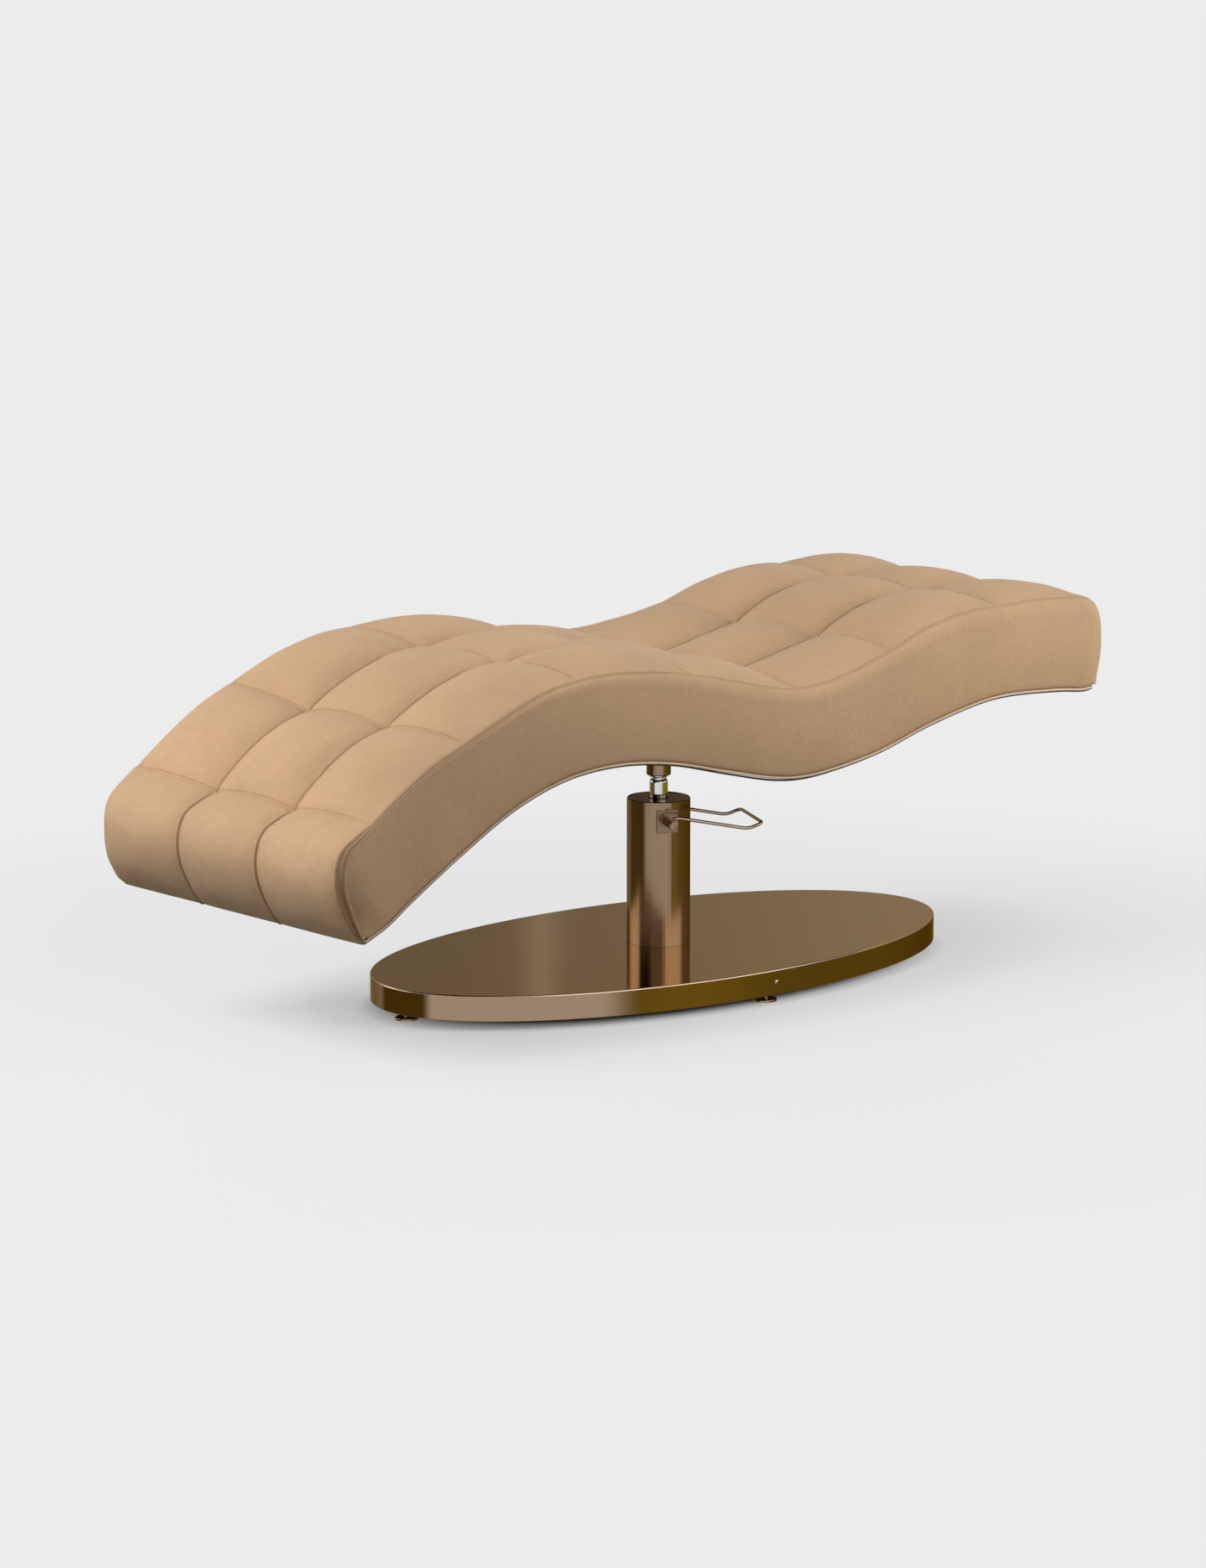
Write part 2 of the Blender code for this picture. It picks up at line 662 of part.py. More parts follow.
def bottom_boards():
    """The curved bottom board and the black cloth under it, each with a hole for the collar."""
    hole = drill(
        "collar_hole", COLLAR_RADIUS + COLLAR_HOLE_GAP, COLLAR_BOTTOM, PLATE_TOP + OVERRUN, steps=32
    )
    ends = (BOARD_FOOT_INSET / UNDER_RUN, 1 - BOARD_HEAD_INSET / UNDER_RUN)
    sheets = (
        ("dust_cover", DUST_COVER_RECESS, DUST_COVER_TOP, CLOTH),
        ("bottom_board", BOARD_LOW, BOARD_TOP, PLYWOOD),
    )
    for name, low, high, finish in sheets:
        cut(as_mesh(layer(name, low, high, *ends, finish, BOARD_HALF_WIDTH)), hole)


def piping():
    """One cord of piping: along one lower edge, across the head end and back along the other."""
    radius = PIPING_DIAMETER / 2
    start, end = PIPING_START / UNDER_RUN, 1 - radius / UNDER_RUN
    shares = [start, *[s for s in UNDER_SHARES if start < s < end - radius / UNDER_RUN], end]
    near = [under(s, radius) for s in shares]
    side = HALF_WIDTH - radius
    corner = 2 * PIPING_DIAMETER
    run = [(p.x, -side, p.y) for p in near[:-1]]
    last = near[-1]
    turn_in = [(last.x - corner, -side, under(end - corner / UNDER_RUN, radius).y), (last.x, corner - side, last.y)]
    half = run + turn_in
    other = [(x, -y, z) for x, y, z in reversed(half)]
    wire("piping", half + other, radius, PIPING, resolution=1)


def carrier():
    """Collar, plate, bearers and bolts: what the bed turns on and is bolted to."""
    profile = [
        (COLLAR_RADIUS, PLATE_BOTTOM - GAP),
        (COLLAR_RADIUS, COLLAR_BOTTOM + COLLAR_CHAMFER),
        (COLLAR_RADIUS - COLLAR_CHAMFER, COLLAR_BOTTOM),
        (RAM_NECK_RADIUS + GAP, COLLAR_BOTTOM),
        (RAM_NECK_RADIUS + GAP, PLATE_BOTTOM - GAP),
    ]
    collar = turned("swivel_collar", profile, GOLD)
    grub_height = COLLAR_BOTTOM + GRUB_RISE
    sideways = Matrix.Rotation(math.pi / 2, 4, "X")
    for name, side in (("near", 1), ("far", -1)):
        flip = sideways if side > 0 else Matrix.Rotation(math.pi, 4, "Z") @ sideways
        spot = (0, 0, grub_height)
        hole = drill(f"grub_hole_{name}", GRUB_RADIUS + GAP, 0, COLLAR_RADIUS + OVERRUN, at=spot, turn=flip)
        cut(collar, hole)
        tip, head = RAM_NECK_RADIUS + 2 * GAP, COLLAR_RADIUS - GAP
        grub = rod(f"grub_screw_{name}", GRUB_RADIUS, tip, head, STEEL, at=spot, turn=flip, steps=16)
        socket = drill(
            f"grub_socket_{name}", GRUB_RADIUS / 2, head - GRUB_RADIUS, head + OVERRUN, at=spot, turn=flip, steps=6
        )
        cut(grub, socket)
    ring(
        "thrust_washer", RAM_NECK_RADIUS, RAM_NECK_RADIUS / 2, RAM_TOP + GAP, PLATE_BOTTOM - GAP, BRONZE, steps=32
    )
    plate = block(
        "mounting_plate", (PLATE_SIZE, PLATE_SIZE, PLATE_THICKNESS), STEEL, COLUMN_AXIS,
        (0, 0, (PLATE_BOTTOM + PLATE_TOP) / 2), bevel=PLATE_BEVEL,
    )
    bearer_low = PLATE_TOP + GAP
    bearers = []
    for name, side in (("foot", -1), ("head", 1)):
        size = (BEARER_WIDTH, 2 * (FRAME_HALF_WIDTH - RIB_THICKNESS - GAP), BEARER_HEIGHT)
        spot = (side * BOLT_SPREAD, 0, bearer_low + BEARER_HEIGHT / 2)
        bearers.append(block(f"bearer_{name}", size, PLYWOOD, COLUMN_AXIS, spot))
    corners = [(x, y) for x in (-BOLT_SPREAD, BOLT_SPREAD) for y in (-BOLT_SPREAD, BOLT_SPREAD)]
    head_top = PLATE_BOTTOM - GAP
    head_low = head_top - PLATE_BOLT_HEAD_HEIGHT
    bolt_top = head_top + PLATE_BOLT_LENGTH
    for number, (x, y) in enumerate(corners, 1):
        spot = (x, y, 0)
        hole = drill(f"plate_hole_{number}", PLATE_BOLT_RADIUS + GAP, head_low, bolt_top + GAP, at=spot, steps=16)
        cut(plate, hole)
        cut(bearers[0 if x < 0 else 1], hole)
        profile = [
            (0, bolt_top), (PLATE_BOLT_RADIUS, bolt_top), (PLATE_BOLT_RADIUS, head_top),
            (PLATE_BOLT_HEAD_RADIUS, head_top), (PLATE_BOLT_HEAD_RADIUS, head_low), (0, head_low),
        ]
        turned(f"plate_bolt_{number}", profile, STEEL, at=spot, steps=12)


def ram():
    profile = [
        (0, RAM_TOP), (RAM_NECK_RADIUS, RAM_TOP), (RAM_NECK_RADIUS, RAM_SHOULDER + 2 * RAM_BEAD),
        (RAM_NECK_RADIUS + RAM_BEAD, RAM_SHOULDER + RAM_BEAD),
        (RAM_NECK_RADIUS, RAM_SHOULDER), (RAM_RADIUS - RAM_BEAD, RAM_SHOULDER - RAM_BEAD),
        (RAM_RADIUS, RAM_SHOULDER - RAM_CHAMFER), (RAM_RADIUS, RAM_BOTTOM), (0, RAM_BOTTOM),
    ]
    turned("ram", profile, CHROME)


def oval_solid(name, half_length, half_width, low, high, segments, finish):
    """A flat oval plate, its scale worked into its mesh."""
    shape = bmesh.new()
    bmesh.ops.create_cone(
        shape, cap_ends=True, segments=segments, radius1=1, radius2=1, depth=1,
        matrix=Matrix.Diagonal((half_length, half_width, high - low, 1)),
    )
    mesh = bpy.data.meshes.new(name)
    shape.to_mesh(mesh)
    shape.free()
    return place(name, mesh, finish, COLUMN_AXIS, (0, 0, (low + high) / 2))


def base_cover():
    """The oval shell, open below: an oval block without its floor, given its wall inwards."""
    piece = oval_solid(
        "base_cover", BASE_HALF_LENGTH, BASE_HALF_WIDTH, FOOT_HEIGHT, BASE_TOP, BASE_SEGMENTS, GOLD
    )
    shape = bmesh.new()
    shape.from_mesh(piece.data)
    rim = [e for e in shape.edges if all(v.co.z > 0 for v in e.verts)]
    bmesh.ops.bevel(shape, geom=rim, offset=BASE_BEVEL, segments=2, profile=0.5, affect="EDGES")
    floor = [f for f in shape.faces if all(v.co.z < 0 for v in f.verts)]
    bmesh.ops.delete(shape, geom=floor, context="FACES")
    shape.to_mesh(piece.data)
    shape.free()
    wall = piece.modifiers.new("wall", "SOLIDIFY")
    wall.thickness = BASE_WALL
    wall.offset = -1
    wall.use_even_offset = True
    return piece


def base():
    cover = base_cover()
    ballast = oval_solid(
        "ballast_plate", BASE_HALF_LENGTH - BASE_WALL - BALLAST_EDGE_GAP,
        BASE_HALF_WIDTH - BASE_WALL - BALLAST_EDGE_GAP, BALLAST_BOTTOM, BALLAST_TOP, BALLAST_SEGMENTS, IRON,
    )
    rim_screws(cover)
    levelling_feet(ballast)
    column_foot(cover, ballast)


def rim_screws(cover):
    middle = (FOOT_HEIGHT + BASE_TOP) / 2
    inner_wall = BASE_HALF_WIDTH - BASE_WALL
    bracket_x, bracket_y, bracket_z = BRACKET_SIZE
    bracket_middle = inner_wall - 2 * GAP - bracket_y / 2
    for name, side in (("near", -1), ("far", 1)):
        outward = Matrix.Rotation(-side * math.pi / 2, 4, "X")
        spot = (0, 0, middle)
        head = BASE_HALF_WIDTH + GAP
        tip = head - RIM_SCREW_LENGTH
        hole = drill(f"rim_hole_{name}", RIM_SCREW_RADIUS + GAP, tip - GAP, head, at=spot, turn=outward, steps=16)
        bracket = block(
            f"rim_bracket_{name}", BRACKET_SIZE, STEEL, COLUMN_AXIS,
            (0, side * bracket_middle, BALLAST_BOTTOM - GAP - bracket_z / 2),
        )
        cut(cover, hole)
        cut(bracket, hole)
        dome = [
            (RIM_HEAD_RADIUS * math.sin(a), head + RIM_HEAD_HEIGHT * math.cos(a))
            for a in (math.pi * n / 12 for n in range(7))
        ]
        profile = [*dome, (RIM_SCREW_RADIUS, head), (RIM_SCREW_RADIUS, tip), (0, tip)]
        screw = turned(f"rim_screw_{name}", profile, GOLD, at=spot, turn=outward, steps=16)
        top = head + RIM_HEAD_HEIGHT
        socket = drill(
            f"rim_socket_{name}", RIM_SOCKET_RADIUS, top - RIM_SOCKET_DEPTH, top + OVERRUN, at=spot,
            turn=outward, steps=6,
        )
        cut(screw, socket)


def levelling_feet(ballast):
    """Four pads on studs, each screwed up through a nut under the ballast plate."""
    places = (
        ("head", FOOT_REACH_X, 0), ("far", 0, FOOT_REACH_Y), ("foot", -FOOT_REACH_X, 0), ("near", 0, -FOOT_REACH_Y),
    )
    stud_top = BALLAST_TOP - STUD_TOP_GAP
    nut_top = BALLAST_BOTTOM - GAP
    for name, x, y in places:
        spot = (x, y, 0)
        profile = [
            (0, stud_top), (STUD_RADIUS, stud_top), (STUD_RADIUS, PAD_HEIGHT),
            (PAD_RADIUS - PAD_CHAMFER, PAD_HEIGHT), (PAD_RADIUS, PAD_HEIGHT - PAD_CHAMFER), (PAD_RADIUS, 0), (0, 0),
        ]
        turned(f"levelling_foot_{name}", profile, GOLD, at=spot, steps=24)
        hole = drill(f"stud_hole_{name}", STUD_RADIUS + GAP, nut_top - NUT_HEIGHT - OVERRUN, BALLAST_TOP + OVERRUN, at=spot)
        nut = prism(f"foot_nut_{name}", NUT_RADIUS, nut_top - NUT_HEIGHT, nut_top, STEEL, at=spot)
        cut(nut, hole)
        cut(ballast, hole)


def column_foot(cover, ballast):
    """The flange inside the column, and the bolts that hold it down through cover and ballast."""
    flange = rod("column_flange", COLUMN_BORE - GAP, COLUMN_BOTTOM, FLANGE_TOP, STEEL, steps=40)
    head_top = BALLAST_BOTTOM - GAP
    head_low = head_top - FLANGE_HEAD_HEIGHT
    for number in range(4):
        angle = math.pi / 4 + number * math.pi / 2
        spot = (FLANGE_BOLT_CIRCLE * math.cos(angle), FLANGE_BOLT_CIRCLE * math.sin(angle), 0)
        hole = drill(
            f"flange_hole_{number + 1}", FLANGE_BOLT_RADIUS + GAP, head_low, FLANGE_TOP + OVERRUN, at=spot, steps=16
        )
        cut(flange, hole)
        cut(cover, hole)
        cut(ballast, hole)
        profile = [
            (0, FLANGE_TOP), (FLANGE_BOLT_RADIUS, FLANGE_TOP), (FLANGE_BOLT_RADIUS, head_top),
            (FLANGE_HEAD_RADIUS, head_top), (FLANGE_HEAD_RADIUS, head_low), (0, head_low),
        ]
        turned(f"flange_bolt_{number + 1}", profile, STEEL, at=spot, steps=12)


def column():
    profile = [
        (COLUMN_RADIUS - COLUMN_BEVEL, COLUMN_TOP), (COLUMN_RADIUS, COLUMN_TOP - COLUMN_BEVEL),
        (COLUMN_RADIUS, COLUMN_BOTTOM), (COLUMN_BORE, COLUMN_BOTTOM), (COLUMN_BORE, COLUMN_TOP),
    ]
    tube = turned("column_tube", profile, GOLD, steps=64)
    reach = COLUMN_RADIUS + OVERRUN
    cut(tube, drill("pin_hole", PIN_RADIUS + GAP, -reach, reach, LEVER_PIVOT))
    ring("column_cap", COLUMN_BORE - GAP, RAM_BORE, CAP_TOP - CAP_THICKNESS, CAP_TOP, DARK)
    ring("wiper_seal", WIPER_RADIUS, RAM_BORE, WIPER_TOP - WIPER_HEIGHT, WIPER_TOP, RUBBER)
    ring("guide_bush", BUSH_RADIUS, RAM_BORE, BUSH_TOP - BUSH_HEIGHT, BUSH_TOP, BRONZE)


def plunger_spot():
    """Where the plunger stands, in the column's axes."""
    out = Vector((math.cos(LEVER_AZIMUTH), math.sin(LEVER_AZIMUTH), 0))
    along = Vector((0, 0, 1)).cross(out)
    return along * CAM_REACH + out * (CAM_START + CAM_THICKNESS / 2)


def pump():
    """The cylinder with its side barrel, the plunger in the barrel and the spring that lifts it."""
    floor = PUMP_BOTTOM + PUMP_FLOOR
    body = rod("pump_cylinder", PUMP_RADIUS, PUMP_BOTTOM, PUMP_TOP, IRON, steps=40)
    spot = plunger_spot()
    heading = Matrix.Rotation(math.atan2(spot.y, spot.x), 4, "Z")
    barrel_low = BARREL_TOP - BARREL_HEIGHT
    barrel = drill("barrel", BARREL_RADIUS, barrel_low, BARREL_TOP, at=spot)
    web_start = PUMP_RADIUS - WEB_INSET
    web_size = (spot.length - web_start, WEB_WIDTH, BARREL_HEIGHT - 2 * WEB_INSET)
    web_middle = heading @ Vector(((web_start + spot.length) / 2, 0, (barrel_low + BARREL_TOP) / 2))
    web = as_cutter(block("barrel_web", web_size, IRON, COLUMN_AXIS, web_middle, heading))
    boolean(body, barrel, "UNION")
    boolean(body, web, "UNION")
    cut(body, drill("cylinder_bore", RAM_BORE, floor, PUMP_TOP + OVERRUN, steps=40))
    bore_low = BARREL_TOP - BARREL_BORE_DEPTH
    cut(body, drill("barrel_bore", PLUNGER_RADIUS + GAP, bore_low, BARREL_TOP + OVERRUN, at=spot))
    collar_top = PLUNGER_TOP - PLUNGER_COLLAR_DROP
    collar_low = collar_top - PLUNGER_COLLAR_HEIGHT
    lean = math.asin(PLUNGER_RADIUS / PLUNGER_DOME)
    dome = [
        (PLUNGER_DOME * math.sin(lean * n / 4), PLUNGER_TOP - PLUNGER_DOME * (1 - math.cos(lean * n / 4)))
        for n in range(5)
    ]
    plunger_profile = [
        *dome, (PLUNGER_RADIUS, collar_top),
        (PLUNGER_COLLAR_RADIUS, collar_top), (PLUNGER_COLLAR_RADIUS, collar_low), (PLUNGER_RADIUS, collar_low),
        (PLUNGER_RADIUS, BARREL_TOP - PLUNGER_SEATED), (0, BARREL_TOP - PLUNGER_SEATED),
    ]
    turned("pump_plunger", plunger_profile, CHROME, at=spot, steps=24)
    low = BARREL_TOP + GAP + SPRING_WIRE / 2
    high = collar_low - GAP - SPRING_WIRE / 2
    count = SPRING_TURNS * SPRING_POINTS_PER_TURN
    coil = []
    for step in range(count + 1):
        angle = 2 * math.pi * step / SPRING_POINTS_PER_TURN
        height = low + (high - low) * step / count
        coil.append((spot.x + SPRING_RADIUS * math.cos(angle), spot.y + SPRING_RADIUS * math.sin(angle), height))
    wire("plunger_spring", coil, SPRING_WIRE / 2, STEEL, COLUMN_AXIS, resolution=1)


def lever_plates():
    """Square plates, each hollowed at the back to sit on the round column."""
    seat = drill("column_seat", COLUMN_RADIUS + GAP, LEVER_HEIGHT - LEVER_PLATE_SIZE, COLUMN_TOP, steps=96)
    depth = PLATE_FACE - COLUMN_BORE
    pin_hole = drill("plate_pin_hole", PIN_RADIUS + GAP, -HUB_END, HUB_END, LEVER_PIVOT)
    for name, side in (("front", 1), ("rear", -1)):
        size = (LEVER_PLATE_SIZE, LEVER_PLATE_SIZE, depth)
        spot = (0, 0, side * (PLATE_FACE - depth / 2))
        plate = block(f"lever_plate_{name}", size, GOLD, LEVER_PIVOT, spot, bevel=LEVER_PLATE_BEVEL)
        cut(plate, seat, pin_hole)


def hub(name, end):
    """A hub and its pivot pin in one, with a socket screw in its outer end."""
    turn = Matrix() if end > 0 else Matrix.Rotation(math.pi, 4, "Y")
    outer = abs(end)
    face = PLATE_FACE + GAP
    recess = outer - HUB_SOCKET_DEPTH
    profile = [
        (0, recess), (HUB_SOCKET_RADIUS, recess), (HUB_SOCKET_RADIUS, outer), (HUB_RADIUS - HUB_CHAMFER, outer),
        (HUB_RADIUS, outer - HUB_CHAMFER), (HUB_RADIUS, face), (PIN_RADIUS, face), (PIN_RADIUS, PIN_INNER_END),
        (0, PIN_INNER_END),
    ]
    turned(f"lever_hub_{name}", profile, GOLD, LEVER_PIVOT, turn=turn, steps=24)
    low = recess + GAP
    top = low + HUB_SCREW_HEIGHT
    screw = rod(f"lever_screw_{name}", HUB_SOCKET_RADIUS - GAP, low, top, STEEL, LEVER_PIVOT, turn=turn)
    cut(screw, drill(f"lever_hex_{name}", HEX_RADIUS, top - HEX_DEPTH, top + OVERRUN, LEVER_PIVOT, turn=turn, steps=6))


def arc(radius, start, end, steps, centre=0.0):
    angles = [start + (end - start) * n / steps for n in range(steps + 1)]
    return [(centre + radius * math.cos(a), radius * math.sin(a)) for a in angles]


def cam():
    """The crank on the front pin, whose round nose presses the plunger down."""
    nose = arc(CAM_RADIUS, -math.pi / 2, math.pi / 2, 16, CAM_REACH)
    heel = arc(CAM_RADIUS, math.pi / 2, 3 * math.pi / 2, 16)
    bore = arc(PIN_RADIUS + GAP, 0, 2 * math.pi * 23 / 24, 23)
    middle = (0, 0, CAM_START + CAM_THICKNESS / 2)
    outline("lever_cam", [nose + heel, bore], CAM_THICKNESS / 2, STEEL, LEVER_PIVOT, middle)
    clip_outer = COLUMN_BORE - CLIP_WALL_GAP
    ring(
        "lever_clip", CLIP_RADIUS, PIN_RADIUS + GAP, -clip_outer, CLIP_THICKNESS - clip_outer, STEEL, LEVER_PIVOT,
        steps=24,
    )


def rounded(points, radius):
    """The route with each corner turned into an arc of a few points."""
    made = [points[0]]
    for before, corner, after in zip(points, points[1:], points[2:]):
        back, on = before - corner, after - corner
        reach = min(radius, back.length / 2, on.length / 2)
        first, last = corner + back.normalized() * reach, corner + on.normalized() * reach
        for step in range(ROD_BEND_STEPS + 1):
            t = step / ROD_BEND_STEPS
            made.append((1 - t) ** 2 * first + 2 * t * (1 - t) * corner + t**2 * last)
    return [*made, points[-1]]


def lever():
    """The bent-wire lever: one arm from each hub, joined by the bar that the hand presses."""
    on_hub = HUB_RADIUS + ROD_RADIUS + GAP
    slope = (ROD_KNEE_RISE - ROD_HOOK_RISE) / (ROD_KNEE - ROD_HOOK)
    turn_rise = ROD_HOOK_RISE + slope * (ROD_REAR_TURN - ROD_HOOK)
    route = [
        (0, on_hub, ROD_FRONT), (ROD_HOOK, ROD_HOOK_RISE, ROD_FRONT), (ROD_KNEE, ROD_KNEE_RISE, ROD_FRONT),
        (ROD_TIP, ROD_TIP_RISE, ROD_FRONT), (ROD_TIP, ROD_TIP_RISE, ROD_REAR), (ROD_KNEE, ROD_KNEE_RISE, ROD_REAR),
        (ROD_REAR_TURN, turn_rise, ROD_REAR), (ROD_HOOK, ROD_HOOK_RISE, ROD_REAR_END), (0, on_hub, ROD_REAR_END),
    ]
    wire("lever_rod", rounded([Vector(p) for p in route], ROD_BEND), ROD_RADIUS, GOLD, LEVER_PIVOT)
    hub("front", HUB_END)
    hub("rear", -REAR_HUB_END)
    cam()


leather_cover()
foam_core()
timber_frame()
bottom_boards()
piping()
carrier()
ram()
base()
column()
pump()
lever_plates()
lever()
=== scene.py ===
"""Looks of the eyelash extension bed: its tufted leather, its bronze-gold metal and the studio round it."""

import json
import math

import bmesh
import bpy
import numpy as np
from mathutils import Matrix, Vector

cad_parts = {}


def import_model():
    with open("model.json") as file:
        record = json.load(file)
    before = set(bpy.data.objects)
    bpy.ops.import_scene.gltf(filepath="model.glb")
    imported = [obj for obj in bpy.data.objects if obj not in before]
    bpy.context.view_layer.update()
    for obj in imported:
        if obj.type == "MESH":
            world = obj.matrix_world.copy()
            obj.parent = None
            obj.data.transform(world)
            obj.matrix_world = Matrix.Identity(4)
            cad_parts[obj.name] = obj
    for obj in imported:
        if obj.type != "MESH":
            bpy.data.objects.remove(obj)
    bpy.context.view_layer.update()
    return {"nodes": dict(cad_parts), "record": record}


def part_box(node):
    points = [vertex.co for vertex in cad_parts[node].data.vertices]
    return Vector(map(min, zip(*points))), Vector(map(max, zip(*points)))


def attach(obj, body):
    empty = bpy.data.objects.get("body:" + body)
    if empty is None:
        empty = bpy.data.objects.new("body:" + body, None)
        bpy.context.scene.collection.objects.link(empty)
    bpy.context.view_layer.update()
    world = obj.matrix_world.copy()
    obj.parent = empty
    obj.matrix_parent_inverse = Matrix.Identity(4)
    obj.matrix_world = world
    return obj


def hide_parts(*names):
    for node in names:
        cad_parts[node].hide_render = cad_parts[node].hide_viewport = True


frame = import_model()
NODES = frame["nodes"]

# Sizes in metres, with the outlines as shares of the bed's length and rise
BED_LENGTH = 1.800
BED_WIDTH = 0.685
BED_FLOOR = 0.242
BED_RISE = 0.439
TOP_EDGE = (
    (-0.4765, 0.000), (-0.4863, 0.088), (-0.4980, 0.218), (-0.5000, 0.292), (-0.4961, 0.363),
    (-0.4805, 0.422), (-0.4330, 0.560), (-0.3928, 0.665), (-0.3502, 0.747), (-0.2828, 0.862),
    (-0.2400, 0.918), (-0.1795, 0.943), (-0.1023, 0.919), (-0.0419, 0.878), (0.0091, 0.828),
    (0.0606, 0.781), (0.0917, 0.770), (0.1282, 0.780), (0.1649, 0.812), (0.2152, 0.878),
    (0.2712, 0.955), (0.3253, 0.993), (0.3802, 1.000), (0.4357, 0.987), (0.4806, 0.955),
    (0.4919, 0.935), (0.4977, 0.895), (0.5000, 0.810), (0.4988, 0.694), (0.4931, 0.590),
)
UNDERSIDE = (
    (-0.4765, 0.000), (-0.4479, 0.055), (-0.4163, 0.141), (-0.3527, 0.301), (-0.2883, 0.443),
    (-0.2232, 0.530), (-0.1572, 0.554), (-0.0902, 0.528), (-0.0222, 0.465), (0.0469, 0.403),
    (0.0818, 0.390), (0.1169, 0.398), (0.1877, 0.445), (0.2595, 0.529), (0.3323, 0.592),
    (0.3692, 0.605), (0.4439, 0.594), (0.4818, 0.580), (0.4931, 0.590),
)
TOP_ROWS = (0.0, 0.1095, 0.2188, 0.3446, 0.4696, 0.5861, 0.6957, 0.8208, 0.9288, 0.9978)
UNDER_ROWS = (0.0, 0.075, 0.1859, 0.3068, 0.4332, 0.586, 0.7504, 0.871, 0.984, 1.0)
COVER_THICKNESS = 0.002
PIPING_DIAMETER = 0.0045
BASE_HALF_LENGTH = 0.630
BASE_HALF_WIDTH = 0.331
BASE_LOW, BASE_TOP = 0.0161, 0.0627
BASE_BEVEL = 0.0025
BASE_WALL = 0.002
COLUMN_X = 0.1005
LEVER_HEIGHT = 0.299
LEVER_AZIMUTH = math.radians(-115.0)

# Camera, as fitted to the photograph
CAMERA_PLACE = (-7.0755, -8.3614, 2.3949)
CAMERA_AIM = (0.63342, 0.75218, -0.18166)
CAMERA_LENS, SENSOR_WIDTH = 138.8, 36
CLIP_START, CLIP_END = 0.1, 100


def linked(name, data):
    """A new object in the scene."""
    made = bpy.data.objects.new(name, data)
    bpy.context.scene.collection.objects.link(made)
    return made


def aimed(name, data, place, way):
    """A camera or lamp that looks along a direction."""
    made = linked(name, data)
    made.location = place
    made.rotation_mode = "QUATERNION"
    made.rotation_quaternion = Vector(way).to_track_quat("-Z", "Y")
    return made


def camera():
    data = bpy.data.cameras.new("camera")
    data.lens, data.sensor_width = CAMERA_LENS, SENSOR_WIDTH
    data.clip_start, data.clip_end = CLIP_START, CLIP_END
    bpy.context.scene.camera = aimed("camera", data, CAMERA_PLACE, CAMERA_AIM)


camera()


# Materials
def linear(colour):
    """A colour written as on a screen, from 0 to 255, as Blender's linear values."""
    shares = [c / 255 for c in colour]
    return tuple(c / 12.92 if c <= 0.04045 else ((c + 0.055) / 1.055) ** 2.4 for c in shares)


def shaded(colour, share):
    return tuple(c * share for c in colour)


class Tree:
    """A short way to write node trees."""

    def __init__(self, tree):
        self.tree = tree

    def put(self, socket, value):
        if isinstance(value, bpy.types.NodeSocket):
            self.tree.links.new(value, socket)
        else:
            socket.default_value = value

    def add(self, kind, inputs=None, **settings):
        node = self.tree.nodes.new("ShaderNode" + kind)
        for key, value in settings.items():
            setattr(node, key, value)
        for key, value in (inputs or {}).items():
            self.put(node.inputs[key], value)
        return node

    def math(self, operation, one, other=0.0):
        return self.add("Math", {0: one, 1: other}, operation=operation).outputs[0]

    def times(self, one, other):
        return self.math("MULTIPLY", one, other)

    def plus(self, one, other):
        return self.math("ADD", one, other)

    def ramp(self, value, low, high, start=0.0, end=1.0, **settings):
        inputs = {"Value": value, "From Min": low, "From Max": high, "To Min": start, "To Max": end}
        return self.add("MapRange", inputs, **settings).outputs["Result"]


class Finish(Tree):
    """A material on the piece's own coordinates."""

    def __init__(self, name):
        self.material = bpy.data.materials.new(name)
        self.material.use_nodes = True
        super().__init__(self.material.node_tree)
        self.shader = self.tree.nodes["Principled BSDF"]
        self.coordinates = self.add("TexCoord").outputs["Object"]

    def set(self, **inputs):
        for key, value in inputs.items():
            self.put(self.shader.inputs[key.replace("_", " ")], value)

    def stretched(self, scale):
        return self.add("Mapping", {"Vector": self.coordinates, "Scale": scale}).outputs["Vector"]

    def noise(self, scale, detail=3, roughness=0.5, vector=None):
        inputs = {"Vector": vector or self.coordinates, "Scale": scale}
        inputs.update({"Detail": detail, "Roughness": roughness})
        return self.add("TexNoise", inputs).outputs["Fac"]

    def cells(self, scale, vector=None):
        inputs = {"Vector": vector or self.coordinates, "Scale": scale}
        return self.add("TexVoronoi", inputs).outputs["Distance"]

    def mix(self, share, one, other):
        node = self.add("Mix", data_type="RGBA")
        for key, value in (("Factor_Float", share), ("A_Color", one), ("B_Color", other)):
            socket = next(s for s in node.inputs if s.identifier == key)
            self.put(socket, (*value, 1) if isinstance(value, tuple) and len(value) == 3 else value)
        return next(s for s in node.outputs if s.identifier == "Result_Color")

    def bump(self, height, distance, strength=1.0, under=None):
        inputs = {"Height": height, "Distance": distance, "Strength": strength}
        if under:
            inputs["Normal"] = under
        return self.add("Bump", inputs).outputs["Normal"]


